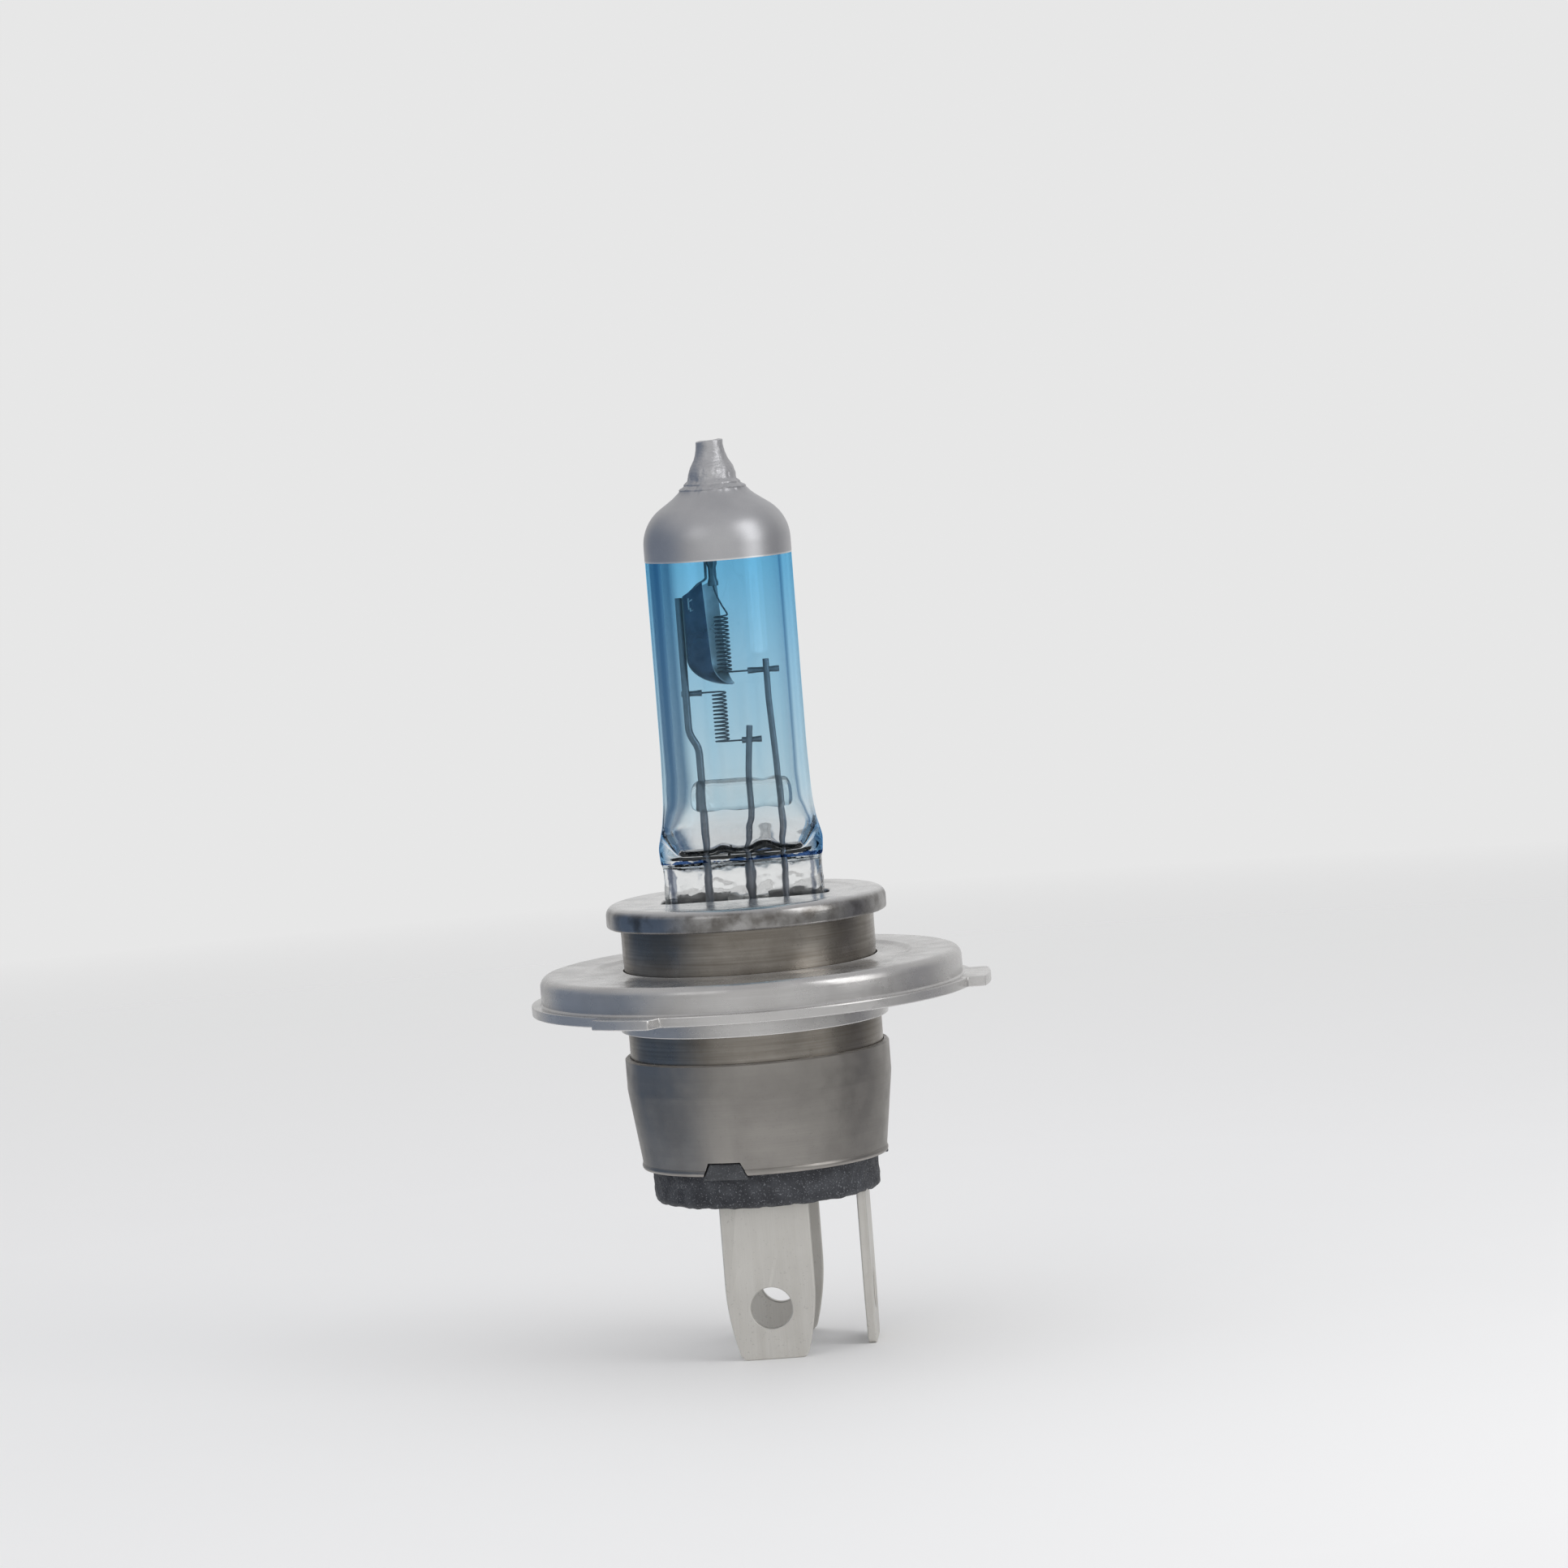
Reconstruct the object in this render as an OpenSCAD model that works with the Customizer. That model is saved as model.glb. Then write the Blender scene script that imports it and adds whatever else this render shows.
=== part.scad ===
// Two-filament halogen headlight bulb on a three-lug pre-focus base, in millimetres.
// +Z runs along the reference axis towards the glass tip. +X points at the wide lug, which is
// up when the bulb is fitted. The origin is the centre of the plane that the lugs seat on.

/* [Glass] */
// Outer radius of the glass tube
glass_r = 6.55; // [6.3:0.05:6.8]
// Thickness of the tube wall
glass_wall = 1.2; // [0.8:0.05:1.3]
// Height of the sealed-off tip above the reference plane
glass_tip_z = 49.4; // [48.8:0.1:50]
// Height at which the silver coating starts
silver_edge_z = 38.85; // [38:0.05:39.5]
// Width of the flat pinch seal
pinch_w = 14.4; // [14:0.1:14.8]
// Thickness of the pinch seal between its beaded edges
pinch_t = 4; // [3.8:0.1:4]

/* [Filaments] */
// Height of the low-beam coil's first turn
low_coil_z = 28.5; // [28.3:0.05:28.8]
// Length of the low-beam coil
low_coil_l = 5.2; // [5:0.1:5.5]
// Height of the high-beam coil's first turn
high_coil_z = 22.3; // [22:0.05:22.5]
// Length of the high-beam coil
high_coil_l = 4.5; // [4.2:0.1:4.6]
// Radius of both coils at the middle of their wire
coil_r = 0.6; // [0.56:0.02:0.62]
// Turns in the low-beam coil
low_turns = 14; // [12:1:16]
// Turns in the high-beam coil
high_turns = 13; // [11:1:15]

/* [Base] */
// Radius of the flange's pilot wall, which centres the bulb in the lamp
pilot_r = 19; // [18.9:0.05:19.1]
// Radius over the three lugs
lug_r = 21.5; // [21.2:0.1:21.6]
// Radius of the sleeve that the flange is welded to
sleeve_r = 11.4; // [11.3:0.05:11.4]
// Radius of the plate that carries the glass
plate_r = 12.6; // [12.4:0.1:13]
// Radius of the base shell where a rubber boot seats
shell_r = 11.9; // [11.9:0.05:12]

/* [Terminals] */
// Width of each blade
blade_w = 8; // [7.8:0.1:8]
// Thickness of each blade
blade_t = 0.8; // [0.7:0.05:0.8]
// Depth of the blade tips behind the reference plane
blade_tip_z = -32.5; // [-33:0.1:-32]
// Distance of the two side blades from the axis
side_blade_y = 7.5; // [7.4:0.1:7.6]
// Distance of the top blade from the axis
top_blade_x = 8.5; // [8.4:0.05:8.5]

/* [Hidden] */
$fn = 64;
eps = 0.05;             // overshoot of a cutter past the face that it cuts

// Glass
dome_z = 40.2;          // where the tube starts to close
neck_z = 45.9;          // where the tip is drawn off the dome
shoulder_z = 16.2;      // where the tube starts to flatten into the pinch
pinch_top = 12.2;
pinch_bottom = -1.2;
pinch_bead_r = 2.2;     // radius of the beads along the pinch's edges
pinch_bead_x = pinch_w / 2 - pinch_bead_r;
cavity_floor_z = 12.9;
silver_t = 0.06;
film_t = 0.03;
film_foot_z = 16.4;

// Wires inside the glass: where each one runs in the pinch and in the bridge
common_x = -3.1;
high_x = 0.7;
low_x = 3.8;
high_bridge_x = 1.2;
common_wire_r = 0.34;
wire_r = 0.28;
pin_end_z = -2.8;       // the wires leave the pinch and end here
bridge_z = 17.4;
bridge_r = 1.6;
bridge_from = -4.1;
bridge_to = 4.9;
low_wire_top = 29.5;
high_wire_top = 23.6;
common_wire_top = 35.5;

// Filaments
leg_r = 0.08;
coil_step = 30;         // degrees between two points on a coil
low_coil_x = -0.2;
high_coil_x = -0.9;     // the high-beam coil sits below the reference axis
leg_sleeve_r = 0.28;
sleeve_bore = leg_r + 0.02;
leg_y = coil_r;         // the legs leave the coils behind the support wires
front_sleeve_x = -0.65;
front_sleeve_z = 36.4;
front_sleeve_l = 2.3;
front_sleeve_r = 0.48;

// Shield
shield_t = 0.18;
shield_half_w = 2.9;
shield_floor_x = -3.52;
shield_near_rim = -1.1;
shield_far_rim = -0.25; // this side stands higher, which gives the beam its step
shield_rear_z = 30;
shield_rear_l = 2.6;
shield_tip_x = 0.73;
shield_front_z = 35.6;
shield_front_rise = 1.3;
tongue_w = 1.2;
tongue_t = 0.2;

// Base
plate_top = 8.4;
plate_t = 0.6;
plate_rim_z = 6.4;
plate_edge_r = 0.9;
slot_gap = 0.4;
sleeve_t = 0.6;
sleeve_bottom = -7.2;
fit_gap = 0.05;
clamp_t = 0.4;
clamp_plate_top = plate_top - plate_t - 0.05;
clamp_tongue_w = 7;
web_top = 2.5;
flange_t = 0.8;
flange_edge_r = 0.9;
neck_bottom = -3;
neck_t = 0.6;
brim_r = 19.9;
brim_t = 0.9;
wide_lug_w = 8;
lug_w = 6;
shell_top = -5.4;
shell_straight_end = -8.4;
shell_bottom = -15.5;
shell_bottom_r = 11;
shell_t = 0.45;
shell_lip_r = 10.2;
notch_angles = [-106, 14, 134];
notch_w = 4.4;
notch_h = 1.2;
plug_r = 10.15;
plug_top = -11;
plug_bottom = -18.6;
plug_chamfer = 0.5;

// Blades and leads
blade_taper_z = -27.4;  // the edges start to draw in here
blade_tip_w = 6.3;
detent_z = -27.9;
detent_r = 1.85;
tang_w = 3;
tang_bottom = -11.2;
tang_top = -8.2;
lead_r = 0.4;
crimp_r = 0.75;
crimp_l = 1.6;

steel = [0.66, 0.65, 0.63];
bright_steel = [0.76, 0.76, 0.77];
molybdenum = [0.42, 0.44, 0.48];
tungsten = [0.33, 0.34, 0.37];
clear_glass = [0.85, 0.92, 0.96, 0.4];
blue_glass = [0.36, 0.66, 0.85, 0.5];
silver_paint = [0.67, 0.67, 0.69];
black_plastic = [0.09, 0.1, 0.12];
tin = [0.78, 0.77, 0.75];

// ---------- curves and sweeps ----------

function unit(v) = v / norm(v);

// Points on a cubic curve from a to d, pulled towards b and c.
function curve(a, b, c, d, steps = 10) = [
    for (i = [0:steps])
    let (t = i / steps, s = 1 - t)
    s * s * s * a + 3 * s * s * t * b + 3 * s * t * t * c + t * t * t * d
];

// Points on an arc about a centre.
function arc(centre, r, from, to, steps = 10) = [
    for (i = [0:steps])
    let (a = from + (to - from) * i / steps)
    centre + r * [cos(a), sin(a)]
];

// A wire's route with each inner corner rounded over the given reach.
function bent(points, reach, steps = 5) = [
    points[0],
    for (i = [1:len(points) - 2])
    let (a = points[i] + reach * unit(points[i - 1] - points[i]),
         b = points[i] + reach * unit(points[i + 1] - points[i]))
    for (k = [0:steps])
    let (t = k / steps)
    (1 - t) * (1 - t) * a + 2 * t * (1 - t) * points[i] + t * t * b,
    points[len(points) - 1]
];

// Points on a coil that climbs from foot, starting behind its axis.
function coil(foot, length, turns) = [
    for (a = [0:coil_step:360 * turns])
    foot + [coil_r * cos(a + 90), coil_r * sin(a + 90), length * a / (360 * turns)]
];

function tangents(path) = [
    for (i = [0:len(path) - 1])
    unit(path[min(i + 1, len(path) - 1)] - path[max(i - 1, 0)])
];

function across(v, along) = unit(v - (v * along) * along);

// One direction square to each tangent, carried along the path without twist.
function carried(tangent, first) = [
    for (i = 0, n = across(first, tangent[0]); i < len(tangent);
         i = i + 1, n = i < len(tangent) ? across(n, tangent[i]) : n)
    n
];

module wire(path, r, sides = 10, first = [0.3, 1, 0.2]) {
    along = tangents(path);
    side = carried(along, first);
    rings = len(path);
    polyhedron(
        points = [
            for (i = [0:rings - 1], k = [0:sides - 1])
            let (a = 360 * k / sides)
            path[i] + r * (cos(a) * side[i] + sin(a) * cross(along[i], side[i]))
        ],
        faces = [
            [for (k = [0:sides - 1]) k],
            [for (k = [0:sides - 1]) rings * sides - 1 - k],
            for (i = [0:rings - 2], k = [0:sides - 1])
            let (a = i * sides, b = a + sides, next = (k + 1) % sides)
            each [[a + k, b + k, b + next], [a + k, b + next, a + next]]
        ]
    );
}

// ---------- glass ----------

// The outer profile from the tube up to the tip, grown outwards by a coating's thickness.
function bulb_side(from_z, grow = 0) = [
    [glass_r + grow, from_z],
    each arc([glass_r - 3.95, dome_z], 3.95 + grow, 0, 65),
    each curve([4.3, 43.8] + grow * [0.42, 0.9], [3.3, 44.3], [2.35, 45],
               [2.1 + grow, neck_z], 6),
    each curve([2.1 + grow, neck_z + 0.15], [2.35 + grow, 47], [1.3 + grow, 47.3],
               [1.25 + grow, 48.4], 8),
    [1.15 + grow, glass_tip_z - 0.2],
    [0.95, glass_tip_z + grow],
    [0, glass_tip_z + grow]
];

function cavity_side() = [
    [glass_r - glass_wall, shoulder_z - 0.4],
    each arc([glass_r - 3.95, dome_z - 0.2], 3.95 - glass_wall, 0, 75),
    [0.6, 44],
    [0, 44.9],
    [0, shoulder_z - 0.4]
];

// The pinch's outline: a flat bar with a bead along each edge.
module pinch_outline(grow = 0) {
    square([2 * pinch_bead_x, pinch_t + 2 * grow], center = true);
    for (side = [-1, 1])
        translate([side * pinch_bead_x, 0]) circle(r = pinch_bead_r + grow);
}

module wire_bores(from_z, to_z, middle_x) {
    for (bore = [[common_x, common_wire_r], [middle_x, wire_r], [low_x, wire_r]])
        translate([bore[0], 0, from_z]) cylinder(r = bore[1], h = to_z - from_z);
}

module glass_envelope() {
    color(clear_glass) difference() {
        union() {
            rotate_extrude()
                polygon([each bulb_side(shoulder_z), [0, shoulder_z]]);
            hull() {
                translate([0, 0, shoulder_z - 0.3])
                    cylinder(r = glass_r, h = 0.3, $fn = 48);
                translate([0, 0, pinch_top])
                    linear_extrude(0.3)
                        square([pinch_w, 2 * pinch_bead_r - 0.4], center = true);
            }
            translate([0, 0, pinch_bottom])
                linear_extrude(pinch_top - pinch_bottom + 0.1) pinch_outline();
        }
        rotate_extrude() polygon(cavity_side());
        hull() {
            translate([0, 0, shoulder_z - 0.4])
                cylinder(r = glass_r - glass_wall, h = 0.2, $fn = 48);
            translate([-5.4, -0.5, cavity_floor_z]) cube([10.8, 1, 0.2]);
        }
        wire_bores(pinch_bottom - eps, cavity_floor_z + 0.3, high_x);
    }
}

// A blue filter film on the outside of the tube, between the silver and the shoulder.
module blue_filter_coating() {
    color(blue_glass) rotate_extrude()
        translate([glass_r, film_foot_z]) square([film_t, silver_edge_z - film_foot_z]);
}

// Opaque silver paint over the dome and the tip, so that no light leaves forwards.
module silver_tip_coating() {
    color(silver_paint) difference() {
        rotate_extrude()
            polygon([each bulb_side(silver_edge_z, silver_t), [0, silver_edge_z]]);
        rotate_extrude()
            polygon([each bulb_side(silver_edge_z - 1), [0, silver_edge_z - 1]]);
    }
}

// A glass rod that ties the three wires together below the filaments.
module glass_bridge() {
    color(clear_glass) difference() {
        translate([bridge_from, 0, bridge_z]) rotate([0, 90, 0])
            rotate_extrude() polygon([
                [0, 0],
                each arc([bridge_r - 0.6, 0.6], 0.6, -90, 0, 5),
                each arc([bridge_r - 0.6, bridge_to - bridge_from - 0.6], 0.6, 0, 90, 5),
                [0, bridge_to - bridge_from]
            ]);
        wire_bores(bridge_z - 2, bridge_z + 2, high_bridge_x);
    }
}

// ---------- wires, shield and filaments ----------

module common_support_wire() {
    color(molybdenum) wire(bent([
        [common_x, 0, pin_end_z], [common_x, 0, 21.9], [-3.9, 0, 23.3],
        [-3.9, 0, common_wire_top]
    ], 0.6), common_wire_r);
}

module high_beam_support_wire() {
    color(molybdenum) wire(bent([
        [high_x, 0, pin_end_z], [high_x, 0, 13.4], [high_bridge_x, 0, 15.4],
        [high_bridge_x, 0, 19.4], [1.6, 0, high_wire_top]
    ], 0.4), wire_r);
}

module low_beam_support_wire() {
    color(molybdenum) wire(bent([
        [low_x, 0, pin_end_z], [low_x, 0, 19.4], [3.5, 0, 26], [3.5, 0, low_wire_top]
    ], 0.6), wire_r);
}

// A point on the shield: rows run from the rear tip (0) to the front edge (1), and columns
// from the near rim (-1) to the far rim (1). Thin is 0 on the outside, shield_t on the inside.
function shield_point(row, column, thin) =
    let (a = column * 90,
         rear = max(0, 1 - row * 2.5) * 84,
         ahead = max(0, row * 2.5 - 1) / 1.5,
         rim = (shield_near_rim + shield_far_rim) / 2
             + column * (shield_far_rim - shield_near_rim) / 2 - 0.3 * ahead,
         rim_here = rim + (shield_tip_x - rim) * (1 - cos(rear)),
         floor_here = shield_tip_x + (shield_floor_x + thin - shield_tip_x) * cos(rear),
         front_z = shield_front_z + shield_front_rise * (1 - cos(a)))
    [rim_here - (rim_here - floor_here) * cos(a),
     (shield_half_w - thin) * cos(rear) * sin(a),
     shield_rear_z - (shield_rear_l - thin) * sin(rear) + (front_z - shield_rear_z) * ahead];

// A spoon-shaped shield below the low-beam coil.
module low_beam_shield() {
    rows = 18;
    columns = 20;
    layer = (rows + 1) * (columns + 1);
    function at(i, j, inside) = inside * layer + i * (columns + 1) + j;
    function panel(a, b, c, d) = [[a, b, c], [a, c, d]];
    color(molybdenum) polyhedron(
        points = [
            for (thin = [0, shield_t], i = [0:rows], j = [0:columns])
            shield_point(i / rows, 2 * j / columns - 1, thin)
        ],
        faces = [
            for (i = [0:rows - 1], j = [0:columns - 1]) each [
                each panel(at(i, j, 0), at(i, j + 1, 0), at(i + 1, j + 1, 0), at(i + 1, j, 0)),
                each panel(at(i, j, 1), at(i + 1, j, 1), at(i + 1, j + 1, 1), at(i, j + 1, 1))
            ],
            for (i = [0:rows - 1]) each [
                each panel(at(i, 0, 0), at(i + 1, 0, 0), at(i + 1, 0, 1), at(i, 0, 1)),
                each panel(at(i, columns, 0), at(i, columns, 1),
                           at(i + 1, columns, 1), at(i + 1, columns, 0))
            ],
            for (j = [0:columns - 1]) each [
                each panel(at(0, j, 0), at(0, j, 1), at(0, j + 1, 1), at(0, j + 1, 0)),
                each panel(at(rows, j, 0), at(rows, j + 1, 0),
                           at(rows, j + 1, 1), at(rows, j, 1))
            ]
        ]
    );
}

// A strip welded into the front of the shield. It carries the low-beam coil's front leg.
module shield_tongue() {
    face_x = front_sleeve_x - front_sleeve_r;
    color(molybdenum) translate([0, tongue_w / 2, 0]) rotate([90, 0, 0])
        linear_extrude(tongue_w) polygon([
            [-3.3, 34.4], [-3.1, 34.4], [-3.1, 35.5], [-2, 36.5], [face_x, 36.9],
            [face_x, 39.2], [face_x - tongue_t, 39.2], [face_x - tongue_t, 37.1],
            [-2.1, 36.72], [-3.3, 35.6]
        ]);
}

module low_beam_filament() {
    foot = [low_coil_x, 0, low_coil_z];
    crown = foot + [coil_r, 0, low_coil_l];
    color(tungsten) wire([
        [4.6, leg_y, low_coil_z], [2.2, leg_y, low_coil_z], [0.6, leg_y, low_coil_z],
        each coil(foot, low_coil_l, low_turns + 0.75),
        crown + [-0.02, 0.14, 0.16],
        [0.1, 0.1, front_sleeve_z - 1.7],
        [front_sleeve_x + 0.2, 0, front_sleeve_z - 0.5],
        [front_sleeve_x, 0, front_sleeve_z],
        [front_sleeve_x, 0, front_sleeve_z + front_sleeve_l - 0.2]
    ], leg_r, 6);
}

module high_beam_filament() {
    foot = [high_coil_x, 0, high_coil_z];
    color(tungsten) wire([
        [2.5, leg_y, high_coil_z], [1, leg_y, high_coil_z], [-0.2, leg_y, high_coil_z],
        each coil(foot, high_coil_l, high_turns),
        [-1.6, leg_y, high_coil_z + high_coil_l], [-4.3, leg_y, high_coil_z + high_coil_l]
    ], leg_r, 6);
}

// A molybdenum tube crimped on a filament leg and welded across a support wire.
module leg_sleeve(from_x, to_x, z) {
    color(molybdenum) translate([from_x, leg_y, z]) rotate([0, 90, 0]) difference() {
        cylinder(r = leg_sleeve_r, h = to_x - from_x);
        translate([0, 0, -eps]) cylinder(r = sleeve_bore, h = to_x - from_x + 2 * eps);
    }
}

module low_beam_rear_leg_sleeve() leg_sleeve(1.8, 4.7, low_coil_z);

module high_beam_rear_leg_sleeve() leg_sleeve(0.8, 2.6, high_coil_z);

module high_beam_front_leg_sleeve() leg_sleeve(-4.4, -2.5, high_coil_z + high_coil_l);

module low_beam_front_leg_sleeve() {
    color(molybdenum) translate([front_sleeve_x, 0, front_sleeve_z]) difference() {
        cylinder(r = front_sleeve_r, h = front_sleeve_l);
        translate([0, 0, -eps]) cylinder(r = sleeve_bore, h = front_sleeve_l + 2 * eps);
    }
}

// ---------- metal base ----------

// A sheet clip under the plate, with two tongues that grip the pinch.
module pinch_clamp() {
    color(bright_steel) union() {
        translate([0, 0, clamp_plate_top - clamp_t]) linear_extrude(clamp_t) difference() {
            circle(r = sleeve_r - sleeve_t - 0.1);
            pinch_outline(0.05);
        }
        for (side = [-1, 1])
            translate([-clamp_tongue_w / 2,
                       side * (pinch_t / 2 + 0.25) - clamp_t / 2, 0.4])
                cube([clamp_tongue_w, clamp_t, clamp_plate_top - 0.4 - clamp_t / 2]);
    }
}

// The plate that the glass stands on, with its edge rolled down over the sleeve.
module cap_plate() {
    inner_r = sleeve_r + fit_gap;
    color(bright_steel) difference() {
        rotate_extrude() polygon([
            [0, plate_top - plate_t], [inner_r, plate_top - plate_t],
            [inner_r, plate_rim_z], [plate_r - 0.3, plate_rim_z],
            each arc([plate_r - 0.3, plate_rim_z + 0.3], 0.3, -90, 0, 4),
            each arc([plate_r - plate_edge_r, plate_top - plate_edge_r], plate_edge_r, 0, 90, 8),
            [0, plate_top]
        ]);
        translate([0, 0, plate_rim_z]) linear_extrude(plate_top) pinch_outline(slot_gap);
    }
}

module inner_sleeve() {
    color(steel) rotate_extrude() polygon([
        [sleeve_r - sleeve_t, sleeve_bottom], [sleeve_r, sleeve_bottom],
        [sleeve_r, plate_top - plate_t - eps], [sleeve_r - sleeve_t, plate_top - plate_t - eps]
    ]);
}

// The pressed pre-focus ring: a neck on the sleeve, a web, a pilot wall, a brim and three lugs.
module focusing_flange() {
    inner_r = sleeve_r + fit_gap;
    color(bright_steel) union() {
        rotate_extrude() polygon([
            [inner_r, neck_bottom], [inner_r + neck_t, neck_bottom],
            each arc([inner_r + neck_t + 0.4, web_top - flange_t - 0.4], 0.4, 180, 90, 5),
            each arc([pilot_r - flange_t - 0.4, web_top - flange_t - 0.4], 0.4, 90, 0, 5),
            [pilot_r - flange_t, -brim_t], [brim_r, -brim_t], [brim_r, 0], [pilot_r, 0],
            each arc([pilot_r - flange_edge_r, web_top - flange_edge_r],
                     flange_edge_r, 0, 90, 8),
            [inner_r, web_top]
        ]);
        for (lug = [[0, wide_lug_w], [120, lug_w], [-120, lug_w]])
            rotate(lug[0]) intersection() {
                translate([pilot_r - flange_t / 2, -lug[1] / 2, -brim_t])
                    cube([lug_r, lug[1], brim_t]);
                translate([0, 0, -brim_t]) cylinder(r = lug_r, h = brim_t);
            }
    }
}

// Wedges for the notches in the shell's lower edge, which the plug's keys stand in.
module notches(gap) {
    for (a = notch_angles)
        rotate(a) rotate([90, 0, 90])
            linear_extrude(shell_r + 1) polygon([
                [-notch_w / 2 - gap, shell_bottom - eps],
                [notch_w / 2 + gap, shell_bottom - eps],
                [notch_w / 3 + gap, shell_bottom + notch_h + gap],
                [-notch_w / 3 - gap, shell_bottom + notch_h + gap]
            ]);
}

module base_shell() {
    taper_in = shell_bottom_r - shell_t;
    color(steel) difference() {
        rotate_extrude() polygon([
            [shell_r - shell_t, shell_top], [shell_r - 0.15, shell_top],
            [shell_r, shell_top - 0.15], [shell_r, shell_straight_end],
            [shell_bottom_r, shell_bottom + 0.4],
            each arc([shell_bottom_r - 0.4, shell_bottom + 0.4], 0.4, 0, -90, 5),
            [shell_lip_r, shell_bottom], [shell_lip_r, shell_bottom + shell_t],
            [taper_in, shell_bottom + shell_t], [shell_r - shell_t, shell_straight_end]
        ]);
        notches(0.05);
    }
}

// The plug that carries the blades. Its collar sits inside the shell's lip.
module insulator() {
    collar_z = shell_bottom + shell_t + fit_gap;
    collar_r = shell_bottom_r - shell_t - fit_gap;
    color(black_plastic) difference() {
        union() {
            rotate_extrude() polygon([
                [0, plug_bottom], [plug_r - plug_chamfer, plug_bottom],
                [plug_r, plug_bottom + plug_chamfer], [plug_r, collar_z],
                [collar_r, collar_z], [collar_r, plug_top], [0, plug_top]
            ]);
            intersection() {
                notches(0);
                translate([0, 0, shell_bottom]) cylinder(r = shell_bottom_r - 0.1, h = 2);
            }
        }
        for (side = [-1, 1]) blade_slot([0, side * side_blade_y], 0);
        blade_slot([top_blade_x, 0], 90);
    }
}

module blade_slot(place, turn) {
    translate(place) rotate(turn)
        translate([-blade_w / 2, -blade_t / 2, plug_bottom - eps])
            cube([blade_w, blade_t, plug_top - plug_bottom + 2 * eps]);
}

// ---------- terminals ----------

// One half of a blade's outline, from its tang down to its tip.
function blade_edge() = [
    [tang_w / 2, tang_top], [tang_w / 2, tang_bottom], [blade_w / 2 - 0.3, tang_bottom],
    [blade_w / 2, tang_bottom - 0.3],
    each curve([blade_w / 2, blade_taper_z], [blade_w / 2, blade_taper_z - 2],
               [blade_tip_w / 2 + 0.35, blade_tip_z + 1.6],
               [blade_tip_w / 2, blade_tip_z], 8)
];

module blade(place, turn) {
    half = blade_edge();
    color(tin) translate(place) rotate(turn)
        translate([0, blade_t / 2, 0]) rotate([90, 0, 0]) linear_extrude(blade_t)
            difference() {
                polygon([each half, for (i = [len(half) - 1:-1:0]) [-half[i][0], half[i][1]]]);
                translate([0, detent_z]) circle(r = detent_r);
            }
}

module common_blade() blade([0, side_blade_y], 0);

module high_beam_blade() blade([0, -side_blade_y], 0);

module low_beam_blade() blade([top_blade_x, 0], 90);

// A nickel wire from the end of a pinch pin to the inner face of a blade's tang.
module lead(pin_x, weld, toward) {
    color(tin) wire(bent([
        [pin_x, 0, pin_end_z], [pin_x, 0, -5],
        weld + 0.4 * toward + [0, 0, 2.4], weld + 0.4 * toward
    ], 0.8), lead_r);
}

inner_face = blade_t / 2 + 0.02;
weld_z = -10;

module common_lead() lead(common_x, [0, side_blade_y - inner_face, weld_z], [0, -1, 0]);

module high_beam_lead() lead(high_x, [0, inner_face - side_blade_y, weld_z], [0, 1, 0]);

module low_beam_lead() lead(low_x, [top_blade_x - inner_face, 0, weld_z], [-1, 0, 0]);

// Tubes crimped over the joints between the pins and the leads.
module lead_crimp_sleeves() {
    color(bright_steel) for (x = [common_x, high_x, low_x])
        translate([x, 0, pin_end_z - crimp_l / 2]) difference() {
            cylinder(r = crimp_r, h = crimp_l);
            translate([0, 0, -eps]) cylinder(r = lead_r + 0.01, h = crimp_l + 2 * eps);
        }
}

// ---------- output ----------

glass_envelope();
blue_filter_coating();
silver_tip_coating();
glass_bridge();
common_support_wire();
high_beam_support_wire();
low_beam_support_wire();
low_beam_shield();
shield_tongue();
low_beam_filament();
high_beam_filament();
low_beam_front_leg_sleeve();
low_beam_rear_leg_sleeve();
high_beam_front_leg_sleeve();
high_beam_rear_leg_sleeve();
pinch_clamp();
cap_plate();
inner_sleeve();
focusing_flange();
base_shell();
insulator();
common_blade();
high_beam_blade();
low_beam_blade();
common_lead();
high_beam_lead();
low_beam_lead();
lead_crimp_sleeves();
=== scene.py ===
"""Looks of a two-filament halogen headlight bulb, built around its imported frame.

Everything is in metres, in the frame's own axes: +Z runs up the reference axis to the glass tip,
+X points at the wide lug, and the origin lies in the plane of the lugs' seating faces.
"""

import logging
import math
from dataclasses import dataclass
from enum import Enum
from typing import Callable, Iterable, Optional, Sequence, Union

import bmesh
import bpy
from mathutils import Matrix, Vector


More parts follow.
